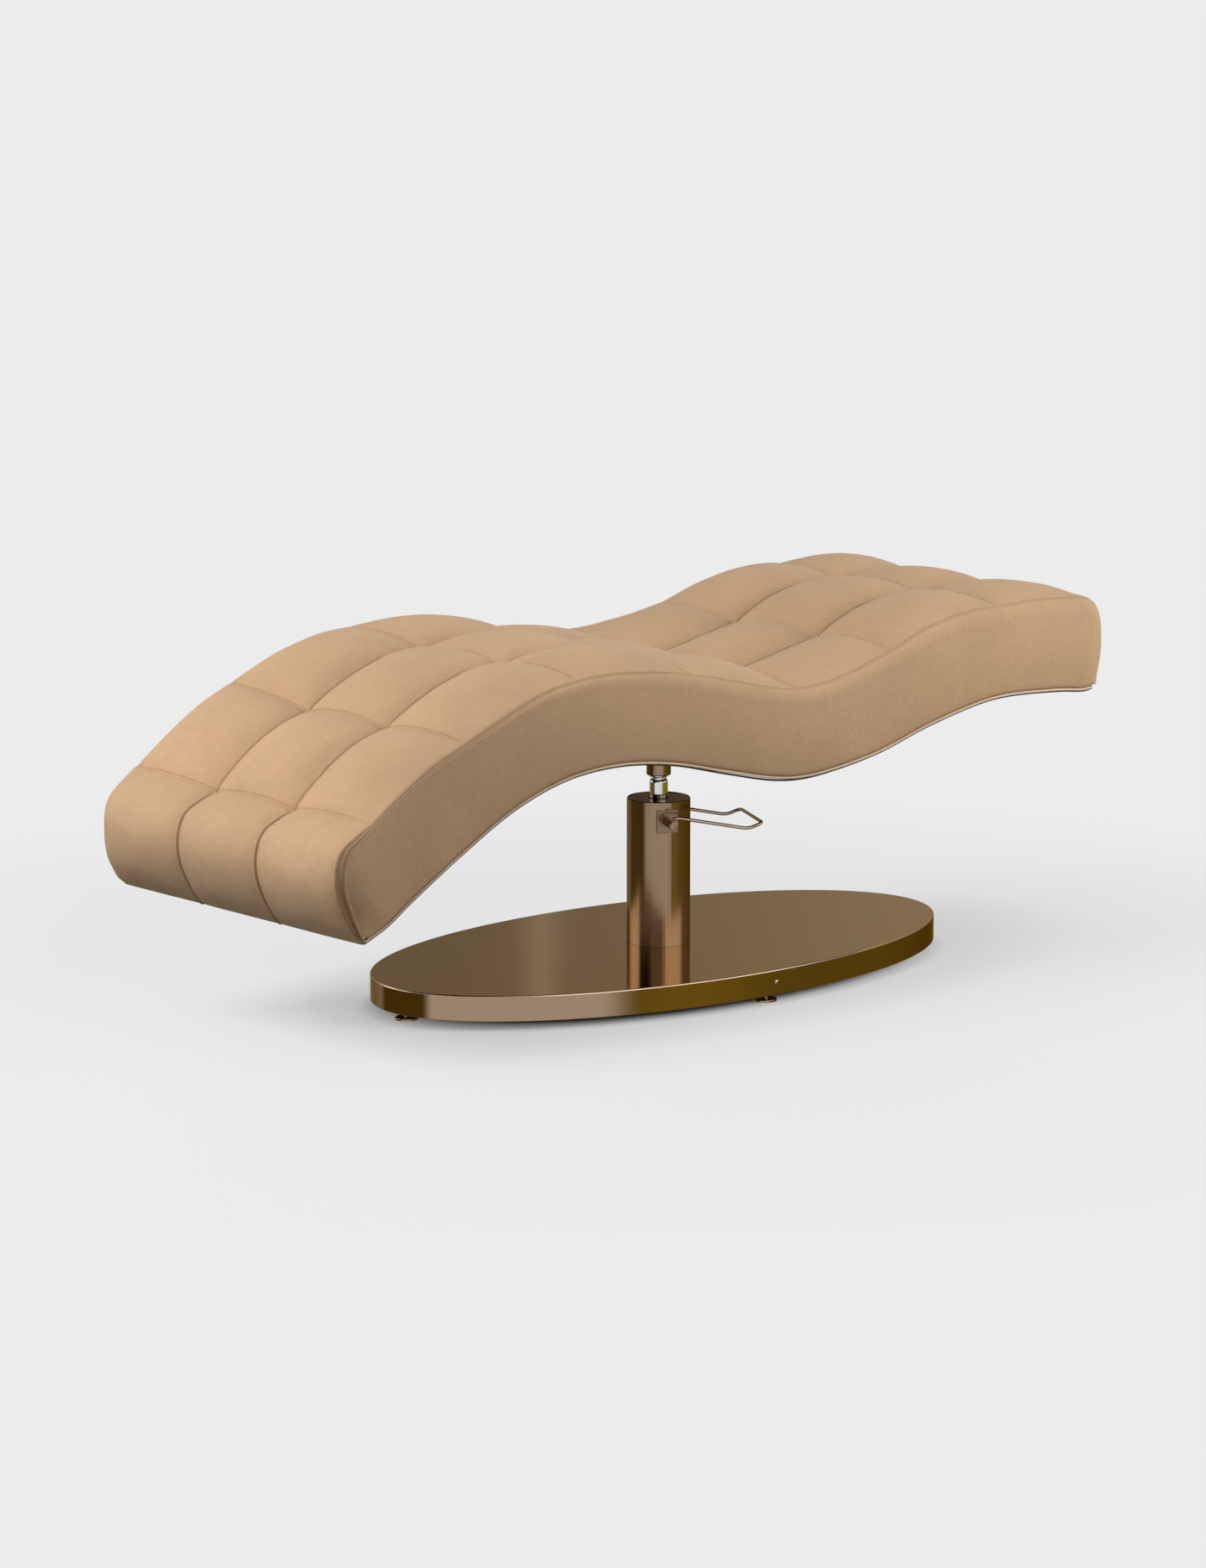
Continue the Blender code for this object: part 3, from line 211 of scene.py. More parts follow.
def leather(name, colour, dark, crease_shaded=True):
    """Soft grained leather with faint mottling, and painted shade where the mesh marks its creases."""
    n = Finish(name)
    blotch = n.ramp(n.noise(5.0, 4, 0.6), 0.35, 0.65)
    fine = n.ramp(n.noise(55.0, 5, 0.65), 0.3, 0.7)
    light = tuple(min(1, c) for c in shaded(colour, 1.06))
    body = n.mix(blotch, shaded(colour, 0.93), light)
    body = n.mix(n.times(fine, 0.35), body, shaded(colour, 0.86))
    grain = n.cells(620.0)
    pebble = n.cells(250.0, n.stretched((1.0, 1.25, 1.1)))
    wrinkle = n.noise(190.0, 5, 0.6, n.stretched((1.0, 1.35, 1.0)))
    body = n.mix(n.ramp(grain, 0.0, 0.35, 0.16, 0.0), body, dark)
    body = n.mix(n.ramp(pebble, 0.25, 0.75, 0.0, 0.10), body, dark)
    # Painted shade: the mesh's crease shade darkens the leather in its grooves, folds and valleys
    if crease_shaded:
        crease_shade = n.add("Attribute", attribute_name="crease_shade").outputs["Fac"]
        body = n.mix(n.times(crease_shade, 0.85), body, dark)
    n.set(Base_Color=body)
    n.set(Roughness=n.ramp(n.plus(n.times(fine, 0.5), grain), 0.2, 1.0, 0.50, 0.64))
    pores = n.bump(grain, 0.0009, 0.35)
    pebbles = n.bump(n.times(pebble, -1.0), 0.0010, 0.28, pores)
    n.set(Normal=n.bump(wrinkle, 0.0016, 0.30, pebbles))
    n.set(Specular_IOR_Level=0.30, Sheen_Weight=0.04, Sheen_Roughness=0.5)
    return n.material


def metal(
    name, colour, roughness, brushing=(1.0, 1.0, 1.0), spread=0.06, scratch=0.00003, tone=0.05, edge=(1, 1, 1)
):
    """Metal with fine brushing lines, stretched where brushing is small, and slow clouds in its gloss."""
    n = Finish(name)
    lines = n.noise(900.0, 2, 0.6, n.stretched(brushing))
    cloud = n.noise(9.0, 4, 0.6)
    tint = n.mix(n.times(cloud, tone * 4), colour, shaded(colour, 1 - tone))
    tint = n.mix(n.times(lines, 0.30), tint, shaded(colour, 0.86))
    n.set(Base_Color=tint, Metallic=1.0, Specular_Tint=(*edge, 1))
    both = n.plus(n.times(cloud, 0.5), n.times(lines, 0.5))
    n.set(Roughness=n.ramp(both, 0.3, 0.7, roughness - spread / 2, roughness + spread / 2))
    n.set(Normal=n.bump(lines, scratch, 0.5))
    return n.material


def matt(name, colour, other, scale, roughness, depth, specular=0.25, metallic=0.0):
    """A plain matt surface, its colour wandering between two."""
    n = Finish(name)
    pattern = n.noise(scale, 4, 0.6)
    n.set(Base_Color=n.mix(n.ramp(pattern, 0.3, 0.7), colour, other), Metallic=metallic)
    n.set(Roughness=n.ramp(pattern, 0.3, 0.7, roughness - 0.05, roughness + 0.05))
    n.set(Normal=n.bump(pattern, depth, 0.6), Specular_IOR_Level=specular)
    return n.material


def cloth(name, colour):
    """Non-woven cloth with its dimpled bonding pattern."""
    n = Finish(name)
    dots = n.cells(420.0)
    fibre = n.noise(700.0, 4, 0.7)
    n.set(Base_Color=n.mix(n.ramp(dots, 0.1, 0.5), colour, shaded(colour, 2.2)))
    n.set(Roughness=0.92, Specular_IOR_Level=0.2)
    n.set(Normal=n.bump(n.plus(n.times(dots, 0.8), n.times(fibre, 0.4)), 0.0008, 0.7))
    return n.material


def plywood(name):
    """Birch veneer with long grain and short pores."""
    n = Finish(name)
    grain = n.noise(36.0, 6, 0.65, n.stretched((0.18, 1.0, 5.0)))
    pores = n.noise(260.0, 3, 0.6, n.stretched((0.08, 1.0, 1.0)))
    body = n.mix(n.ramp(grain, 0.3, 0.7), linear((205, 172, 128)), linear((171, 134, 90)))
    n.set(Base_Color=n.mix(n.ramp(pores, 0.55, 0.75, 0, 0.5), body, linear((120, 88, 55))))
    n.set(Roughness=n.ramp(grain, 0.3, 0.7, 0.6, 0.75))
    n.set(Normal=n.bump(pores, 0.0004, 0.4), Specular_IOR_Level=0.3)
    return n.material


LEATHER_COLOUR = (0.605, 0.394, 0.226)
# The dark leather colour darkens the grain's pores and pebbles, and also paints shade into the creases
LEATHER_GRAIN_AND_SHADE = (0.235, 0.140, 0.068)
PIPING_COLOUR = (0.86, 0.68, 0.49)
GOLD_COLOUR = (0.322, 0.230, 0.153)
GOLD_EDGE = (0.56, 0.47, 0.355)
BASE_COLOUR = (0.395, 0.282, 0.188)
BASE_EDGE = (0.52, 0.437, 0.333)
CAP_EDGE = (0.40, 0.32, 0.25)
ALONG_BED, ROUND_AXIS, ROUND_AXIS_COARSE = (0.02, 1.0, 1.0), (1.0, 1.0, 0.02), (1.0, 1.0, 0.05)

LEATHER = leather("caramel_leather", LEATHER_COLOUR, LEATHER_GRAIN_AND_SHADE)
PIPING = leather("piping_leather", PIPING_COLOUR, LEATHER_GRAIN_AND_SHADE, crease_shaded=False)
THREAD = matt("stitching_thread", (0.30, 0.18, 0.09), (0.40, 0.25, 0.13), 2400.0, 0.6, 0.0002)
# The hem cord's dark cloth stands partly for the dust cover's edge and partly for painted shade under the
# piping
HEM_AND_SHADE = cloth("hem_and_shade_cloth", (0.035, 0.021, 0.012))
CLOTH = cloth("black_cloth", (0.030, 0.025, 0.021))
PLYWOOD = plywood("plywood_birch")
FOAM = matt("foam_cut", (0.80, 0.74, 0.55), (0.72, 0.65, 0.46), 500.0, 0.9, 0.0006)
GOLD_TOP = metal(
    "brushed_bronze_gold_flat", BASE_COLOUR, 0.08, ALONG_BED,
    spread=0.015, scratch=0.000003, tone=0.04, edge=BASE_EDGE,
)
GOLD_TURNED = metal("brushed_bronze_gold_turned", GOLD_COLOUR, 0.19, ROUND_AXIS, spread=0.04, edge=GOLD_EDGE)
GOLD_SMALL = metal("bronze_gold_small", (0.335, 0.238, 0.158), 0.16, edge=GOLD_EDGE)
GOLD_PLATE = metal("bronze_gold_plate", (0.245, 0.172, 0.112), 0.22, edge=GOLD_EDGE)
CAP = metal("satin_dark_bronze", (0.19, 0.145, 0.105), 0.26, edge=CAP_EDGE)
CHROME = metal(
    "polished_chrome", (0.74, 0.77, 0.81), 0.07, ROUND_AXIS_COARSE, spread=0.02, scratch=0.000005, tone=0.01
)
STEEL = metal("zinc_plated_steel", (0.56, 0.57, 0.58), 0.38, spread=0.12, scratch=0.00006, tone=0.08)
IRON = matt(
    "black_cast_iron", (0.030, 0.030, 0.032), (0.055, 0.054, 0.053), 300.0, 0.55, 0.0005,
    specular=0.4, metallic=0.3,
)
BRONZE = metal("turned_bearing_bronze", (0.56, 0.34, 0.13), 0.30, ROUND_AXIS_COARSE)
RUBBER = matt("black_rubber", (0.018, 0.018, 0.018), (0.030, 0.030, 0.030), 120.0, 0.7, 0.0002)


# Shared builders
WELD, SPIN_WELD = 0.00002, 0.00001
SHARP = 34
FLAT = math.radians(0.3)
# How far a tube's end stands out, as a share of its radius, and a direction that no tube starts along
TUBE_TIP = 0.35
ODD_WAY = (0.31, 0.17, 0.93)


def add_object(name, mesh, material, body, replaces=()):
    made = linked(name, mesh)
    mesh.materials.append(material)
    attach(made, body)
    if replaces:
        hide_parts(*replaces)
    return made


def mesh_of(name, points, faces):
    mesh = bpy.data.meshes.new(name)
    mesh.from_pydata(points, [], faces)
    return mesh


def unit(ways):
    """Directions made one long."""
    return ways / np.linalg.norm(ways, axis=-1, keepdims=True)


def smooth_mesh(shape, mesh, sharp=None):
    """Writes a bmesh to a mesh, shaded smooth, with edges past an angle in degrees left sharp."""
    shape.to_mesh(mesh)
    shape.free()
    mesh.shade_smooth()
    if sharp:
        mesh.set_sharp_from_angle(angle=math.radians(sharp))
    return mesh


def refine(node, material, body, slot, bevel=0.0, angle=SHARP, segments=2):
    """A CAD node's own shape with welded points, softened edges and smooth shading."""
    shape = bmesh.new()
    shape.from_mesh(NODES[node].data)
    bmesh.ops.remove_doubles(shape, verts=shape.verts, dist=WELD)
    bmesh.ops.dissolve_limit(
        shape, angle_limit=FLAT, verts=shape.verts, edges=shape.edges, use_dissolve_boundaries=False
    )
    bmesh.ops.recalc_face_normals(shape, faces=shape.faces)
    if bevel:
        least = math.radians(angle)
        sharp = [e for e in shape.edges if len(e.link_faces) == 2 and e.calc_face_angle(0) > least]
        bmesh.ops.bevel(
            shape, geom=sharp, offset=bevel, offset_type="OFFSET", segments=segments, profile=0.5,
            affect="EDGES", clamp_overlap=True,
        )
    mesh = smooth_mesh(shape, bpy.data.meshes.new(node + "_finish"), angle)
    made = add_object(node + "_finish", mesh, material, body, [node])
    made.modifiers.new("even_shading", "WEIGHTED_NORMAL").keep_sharp = True


def refine_each(stem, ends, *looks):
    for end in ends:
        refine(f"{stem}_{end}", *looks)


def revolve(name, profile, steps, material, body, replaces):
    """A piece turned about the column's axis from radius and height pairs, closed or from axis to axis."""
    shape = bmesh.new()
    verts = [shape.verts.new((r, 0, z)) for r, z in profile]
    edges = [shape.edges.new(pair) for pair in zip(verts, verts[1:])]
    if profile[0][0] > 0:
        edges.append(shape.edges.new((verts[-1], verts[0])))
    bmesh.ops.spin(
        shape, geom=verts + edges, cent=(0, 0, 0), axis=(0, 0, 1),
        angle=2 * math.pi, steps=steps, use_merge=True,
    )
    bmesh.ops.remove_doubles(shape, verts=shape.verts, dist=SPIN_WELD)
    bmesh.ops.recalc_face_normals(shape, faces=shape.faces)
    bmesh.ops.transform(shape, matrix=Matrix.Translation((COLUMN_X, 0, 0)), verts=shape.verts)
    mesh = smooth_mesh(shape, bpy.data.meshes.new(name), SHARP)
    add_object(name, mesh, material, body, replaces)


def tube(name, points, radius, sides, material, body, replaces=()):
    """A round rod through these points, each end closed to a low point."""
    path = np.array([tuple(p) for p in points], float)
    runs = unit(np.diff(path, axis=0))
    along = unit(np.vstack([runs[:1], runs[:-1] + runs[1:], runs[-1:]]))
    angles = np.linspace(0, 2 * math.pi, sides, endpoint=False)
    side = np.cross(along[0], ODD_WAY)
    side /= np.linalg.norm(side)
    verts, faces = [], []
    for p, t in zip(path, along):
        side = side - t * side.dot(t)
        side /= np.linalg.norm(side)
        up = np.cross(t, side)
        verts += [p + radius * (math.cos(a) * side + math.sin(a) * up) for a in angles]
    last = len(path) - 1
    pairs = [(j, (j + 1) % sides) for j in range(sides)]
    for low in range(0, last * sides, sides):
        faces += [(low + j, low + k, low + sides + k, low + sides + j) for j, k in pairs]
    for end, sign in ((0, -1), (last, 1)):
        tip, ring = len(verts), end * sides
        verts.append(path[end] + sign * along[end] * radius * TUBE_TIP)
        faces += [(tip, ring + k, ring + j) if sign < 0 else (tip, ring + j, ring + k) for j, k in pairs]
    mesh = mesh_of(name, [tuple(v) for v in verts], faces)
    mesh.shade_smooth()
    add_object(name, mesh, material, body, replaces)


# Bed outline
CURVE_STEPS = 40
WAY_SMOOTHING = 12


def smooth_curve(pairs):
    """A centripetal spline through these shares of the bed's length and rise."""
    points = np.array([(x * BED_LENGTH, BED_FLOOR + z * BED_RISE) for x, z in pairs])
    ends = np.vstack([2 * points[0] - points[1], points, 2 * points[-1] - points[-2]])
    made = []
    for a, b, c, d in zip(ends, ends[1:], ends[2:], ends[3:]):
        k0, k1, k2 = (math.sqrt(np.linalg.norm(q - p)) for p, q in ((a, b), (b, c), (c, d)))
        leave = (c - b) + k1 * ((b - a) / k0 - (c - a) / (k0 + k1))
        arrive = (c - b) + k1 * ((d - c) / k2 - (d - b) / (k1 + k2))
        for t in np.arange(CURVE_STEPS) / CURVE_STEPS:
            made.append(
                (2 * t**3 - 3 * t**2 + 1) * b + (t**3 - 2 * t**2 + t) * leave
                + (3 * t**2 - 2 * t**3) * c + (t**3 - t**2) * arrive
            )
    return np.array([*made, points[-1]])


class Path:
    """A curve by the share of its length, with its left normal."""

    def __init__(self, pairs):
        self.points = smooth_curve(pairs)
        steps = np.linalg.norm(np.diff(self.points, axis=0), axis=1)
        self.run = np.concatenate([[0], np.cumsum(steps)])
        self.length = self.run[-1]
        way = np.gradient(self.points, self.run, axis=0)
        kernel = np.hanning(2 * WAY_SMOOTHING + 1)
        kernel /= kernel.sum()
        for axis in range(2):
            padded = np.pad(way[:, axis], WAY_SMOOTHING, mode="edge")
            way[:, axis] = np.convolve(padded, kernel, mode="valid")
        way = unit(way)
        self.lefts = np.stack([-way[:, 1], way[:, 0]], axis=1)

    def read(self, table, places):
        return np.stack([np.interp(places, self.run, table[:, k]) for k in range(2)], axis=-1)

    def at(self, shares):
        places = np.asarray(shares) * self.length
        return self.read(self.points, places), unit(self.read(self.lefts, places))


TOP = Path(TOP_EDGE)
UNDER = Path(UNDERSIDE)


def bounded(value):
    """A value, or 0 where it is less and 1 where it is more."""
    return np.clip(value, 0, 1)


def cell(lines, at):
    """Which stretch between the lines holds each value, and its share of the way along that."""
    which = np.clip(np.searchsorted(lines, at, side="right") - 1, 0, len(lines) - 2)
    return which, (at - lines[which]) / (lines[which + 1] - lines[which])


def eased(corner, f, g):
    """A value between four corners, by smooth shares of the way along and across."""
    f, g = f * f * (3 - 2 * f), g * g * (3 - 2 * g)
    low = corner(0, 0) * (1 - f) + corner(1, 0) * f
    high = corner(0, 1) * (1 - f) + corner(1, 1) * f
    return low * (1 - g) + high * g


def lattice(period, seed, rows=256, columns=64):
    """Smooth repeatable noise of two variables, each cell one period long, from -1 to 1."""
    table = np.random.default_rng(seed).uniform(-1, 1, (rows, columns))

    def value(x, y):
        u, v = np.asarray(x) / period, np.asarray(y) / period
        i, j = np.floor(u).astype(int), np.floor(v).astype(int)
        return eased(lambda a, b: table[(i + a) % rows, (j + b) % columns], u - i, v - j)

    return value


# Tufted pad
FOOT_CROWN, LOW_CROWN, HIGH_CROWN, HEAD_CROWN = 0.022, 0.026, 0.022, 0.016
CROWNS = np.array([FOOT_CROWN, *[LOW_CROWN] * 4, *[HIGH_CROWN] * 3, HEAD_CROWN])
FOOT_ROUND, HEAD_EDGE_RISE, HEAD_SHIFT = 0.009, 0.008, 0.0042
CROSS_SEAM_RISE, LONG_SEAM_RISE, TUFT_DEPTH = 0.007, 0.002, 0.011
SIDE_PUFF = 0.004
# From the middle of a cross seam to each of its two rows of topstitching
BAND = 0.0028
HALF = BED_WIDTH / 2
# The top's mesh lines end this far from the pad's side, and each station fits them to its shoulder
INSET = 0.009
SEAM_ROWS = np.array(TOP_ROWS[1:-1]) * TOP.length
ROW_LINES = np.array(TOP_ROWS) * TOP.length
LAST_ROW = len(ROW_LINES) - 2
LONG_SEAMS = np.array((-BED_WIDTH / 6, BED_WIDTH / 6))
COLUMN_LINES = np.array((INSET - HALF, *LONG_SEAMS, HALF - INSET))
TUFT_LINES = np.array((-HALF, *LONG_SEAMS, HALF))
# How far the top slopes off at its sides, by the share of its length
DROP_PLACES = (0.0, 0.15, 0.25, 0.33, 0.48, 0.80, 0.92, 1.0)
DROP_SIZES = (0.0, 0.0, 0.002, 0.006, 0.006, 0.006, 0.003, 0.0)
# How much fuller the tufts are at the far edge, by row and place in it
FULL_PLACES = (
    0.0, 0.12, 0.30, 0.50, 0.75, 1.0, 1.5, 2.0, 2.4, 2.8, 3.2, 3.6,
    4.0, 4.3, 4.6, 5.0, 5.4, 6.0, 6.4, 7.0, 7.6, 8.0, 8.4, 9.0,
)
FULL_SIZES = (
    0.0, 0.010, 0.010, 0.001, 0.003, 0.013, 0.017, 0.023, 0.024, 0.017, 0.016, 0.007,
    0.004, 0.005, 0.016, 0.034, 0.032, 0.015, 0.010, 0.002, 0.005, 0.013, 0.004, 0.0,
)
# The same at the near edge, where only the corner at the head is fuller
CORNER_PLACES = (7.2, 7.7, 8.0, 8.3, 8.7, 9.0)
CORNER_SIZES = (0.0, 0.007, 0.019, 0.009, 0.003, 0.0)
slow_noise, pucker_noise, fine_noise = lattice(0.11, 1), lattice(0.016, 2), lattice(0.034, 3)
side_noise = lattice(0.021, 5)
# The mesh's extra lines inside its borders, as shares of how far it is fine beside a seam
BORDER_SHARES = (0.0, 0.03, 0.08, 0.16, 0.27, 0.42, 0.62, 1.0)


def spaced(low, high, step, skip=0.0):
    count = max(1, round((high - low - 2 * skip) / step))
    return list(np.linspace(low + skip, high - skip, count + 1))


def lines(marks, seams, near, step):
    """Positions between the marks, close together beside each seam."""
    found = set()
    for low, high in zip(marks, marks[1:]):
        found.update(np.round(spaced(low, high, step, near[-1]), 6))
    for seam in seams:
        found.update(np.round([seam + sign * d for d in near for sign in (-1, 1)], 6))
    for share in BORDER_SHARES:
        found.update((round(marks[0] + share * near[-1], 6), round(marks[-1] - share * near[-1], 6)))
    return np.array(sorted(found))


def pillow(share, power):
    return bounded(np.sin(np.pi * bounded(share))) ** power


def gauss(x, width):
    return np.exp(-((x / width) ** 2))


def tuft_form(run, y):
    """Height of the tufts over the edge line, and how full its tuft is at each point, from 0 to 1."""
    row, along = cell(ROW_LINES, run)
    column, over = cell(TUFT_LINES, y)
    foot, head = row == 0, row == LAST_ROW
    rise = CROSS_SEAM_RISE * np.where(head, 0.6, 1.0)
    to_far = np.where(column == 2, bounded(2 * over - 1), 0)
    at_edge = np.where(column == 0, bounded(1 - 2 * over), to_far)
    puff_along = pillow(along, np.where(head, 0.72 - 0.27 * along, 0.72))
    puff_across = pillow(over, np.where(foot, 0.62 - 0.20 * at_edge, 0.68 + 0.27 * at_edge))
    tied = np.where(foot, 0, 1) * (1 - along) + np.where(head, 0, 1) * along
    inner = (LONG_SEAM_RISE + TUFT_DEPTH) * puff_along - TUFT_DEPTH * tied
    edge = np.where(head, HEAD_EDGE_RISE, 0) * puff_along
    seam = np.where(column > 0, inner, edge) * (1 - over) + np.where(column < 2, inner, edge) * over
    middle = CROWNS[row] * puff_along + rise * tied * (1 - puff_along)
    height = seam * (1 - puff_across) + middle * puff_across
    # The foot face is rounded as a whole, steeply from its lower edge
    rounded = FOOT_ROUND * pillow(bounded(along) ** 0.7, 0.42 + 1.1 * along)
    height = height + np.where(foot, rounded, 0)
    # The whole top slopes off towards its outer edges, and the head end stands a little further out
    beyond = bounded((np.abs(y) - LONG_SEAMS[1]) / (HALF - LONG_SEAMS[1]))
    height = height - np.interp(run / TOP.length, DROP_PLACES, DROP_SIZES) * beyond**3
    far = np.interp(row + along, FULL_PLACES, FULL_SIZES)
    near = np.interp(row + along, CORNER_PLACES, CORNER_SIZES)
    height = height + np.where(y > 0, far, near) * beyond**1.8
    height = height + np.where(head, HEAD_SHIFT * bounded(along / 0.3), 0)
    return height, puff_along * puff_across


# Depths, heights, widths and places in the leather's relief
GROOVE_DEPTH, GROOVE_WIDTH, BAND_DEPTH = 0.00100, 0.0010, 0.0007
FOLD_DEPTH, FOLD_MORE, FOLD_WIDTH = 0.0014, 0.0012, 0.0015
RIDGE_RISE, RIDGE_MORE, RIDGE_PLACE, RIDGE_WIDTH = 0.0004, 0.0016, 0.0036, 0.0017
NOTCH_DEPTH, NOTCH_WIDTH = 0.0036, 0.0105
STAR_RISE, STAR_START, STAR_REACH = 0.00060, 0.010, 0.020
CROSS_PUCKER, CROSS_REACH = 0.00040, 0.010
LONG_PUCKER, LONG_REACH = 0.00045, 0.012
SLACK, FINE_SLACK = 0.0006, 0.00012
HEAD_FADE, FOOT_FADE = 0.05, 0.03


def relief(run, y):
    """Height over the edge line and painted shade in the creases of the tufted top."""
    height, puff = tuft_form(run, y)
    which = np.argmin(np.abs(run[..., None] - SEAM_ROWS), axis=-1)
    signed = run - SEAM_ROWS[which]
    to_row = np.abs(signed)
    near_long = LONG_SEAMS[np.argmin(np.abs(y[..., None] - LONG_SEAMS), axis=-1)]
    signed_y = y - near_long
    to_long = np.abs(signed_y)
    head_fade = bounded((ROW_LINES[-1] - run) / HEAD_FADE)
    foot = bounded((ROW_LINES[1] - run) / FOOT_FADE)

    # The band between two rows of topstitching, a little sunk, with a groove under each row
    grooves = GROOVE_DEPTH * gauss(to_row - BAND, GROOVE_WIDTH)
    band = BAND_DEPTH * (to_row < BAND)
    last_seam = np.where(which == len(SEAM_ROWS) - 1, 0.35, 1.0)
    height = height - (grooves + band) * last_seam
    # The long seams have one narrow fold, on the foot end with a rolled ridge beside it
    fold = (FOLD_DEPTH + FOLD_MORE * foot) * gauss(signed_y + 0.0006 * foot, FOLD_WIDTH)
    ridge = (RIDGE_RISE + RIDGE_MORE * foot) * gauss(signed_y - RIDGE_PLACE, RIDGE_WIDTH)
    height = height - (fold - ridge) * head_fade
    # Where seams cross, the leather is drawn down to a point with small folds round it
    near_cross = np.hypot(to_row * 1.1, to_long)
    height = height - NOTCH_DEPTH * gauss(near_cross, NOTCH_WIDTH)
    angle = np.arctan2(signed, signed_y)
    star = np.cos(5 * angle + 1.7 * which + 40 * near_long) * bounded(near_cross / STAR_START)
    height = height + STAR_RISE * star * np.exp(-near_cross / STAR_REACH)

    # Puckers along the stitching, then slack in the leather as a whole
    pull = pucker_noise(y + 3.1 * which, signed * 0.22)
    height = height + CROSS_PUCKER * pull * np.exp(-to_row / CROSS_REACH) * (to_row > BAND)
    pull = pucker_noise(run * 0.8, signed_y * 0.25 + 7 * near_long)
    height = height + LONG_PUCKER * pull * np.exp(-to_long / LONG_REACH) * (1 - 0.6 * foot)
    height = height + SLACK * slow_noise(run, y) * puff
    height = height + FINE_SLACK * fine_noise(run, y * 1.3)

    # Painted shade: dark lines in the grooves under the stitching, in the long seams' folds and where seams
    # cross, and broad darkening beside every seam
    soft = np.where(which > 4, 0.45, 1.0)
    crease_shades = (
        0.60 * gauss(to_row - BAND, 0.0008) * last_seam * soft,
        (0.16 + 0.60 * foot) * gauss(signed_y + 0.0004, 0.0014) * head_fade,
        0.75 * gauss(near_cross, 0.0040),
        0.27 * np.exp(-to_long / 0.022) * head_fade,
        0.15 * np.exp(-to_row / 0.020) * last_seam,
    )
    return height, np.max(crease_shades, axis=0)


# Places of the mesh's lines down a side panel, as shares of its height
SIDE_SHARES = np.array((
    0.012, 0.03, 0.055, 0.09, 0.13, 0.18, 0.24, 0.30, 0.37, 0.44,
    0.51, 0.58, 0.65, 0.72, 0.79, 0.86, 0.92, 0.965, 1.0,
))
# By their place along the pad: the shoulder's width and height, and how far round it the stitching sits
PLACES = (0.0, 0.08, 0.16, 0.25, 0.33, 0.44, 0.80, 0.90, 0.945, 0.98, 1.0)
WIDTHS = (0.0052, 0.0070, 0.0130, 0.0200, 0.0230, 0.0240, 0.0250, 0.0220, 0.0140, 0.0100, 0.0090)
HEIGHTS = (0.0052, 0.0070, 0.0130, 0.0220, 0.0320, 0.0380, 0.0400, 0.0340, 0.0190, 0.0120, 0.0100)
MARKS = (0.42, 0.50, 0.66, 0.62, 0.36, 0.13, 0.10, 0.10, 0.12, 0.14, 0.30)
# The length of arc that has room for both rows of stitching, and half their distance
ROOMY_ARC, EDGE_BAND = 0.0078, 0.0021
PIPING_GAP, SLOPE_RUN = 0.0004, 0.006
# Where the pad is thinner than this, its way down turns square to its top
THIN_PAD = 0.02
# Where the edge stitching starts and ends, as shares of the pad's length, and how slowly
STITCH_START, STITCH_END, STITCH_FADE = 0.040, 0.950, 0.03
# The edge stitching's grooves, the dent of the seam at the foot's corners and the width of its painted shade,
# and the side panels' folds
EDGE_DEPTH, EDGE_WIDTH, EDGE_SUNK = 0.00100, 0.0008, 0.00035
CORNER_DENT, DENT_WIDTH, CORNER_SHADE_WIDTH = 0.0024, 0.0012, 0.0023
PLEAT, LOW_PLEAT, SIDE_WAVE, TUCK = 0.00025, 0.00020, 0.0006, 0.0012


def in_space(spot, wide):
    """Points of the side view, spread out to their widths."""
    return np.stack([spot[..., 0], wide, spot[..., 1]], axis=-1)


def grid(one, other):
    """Two lists of values as a grid of each."""
    return np.meshgrid(one, other, indexing="ij")


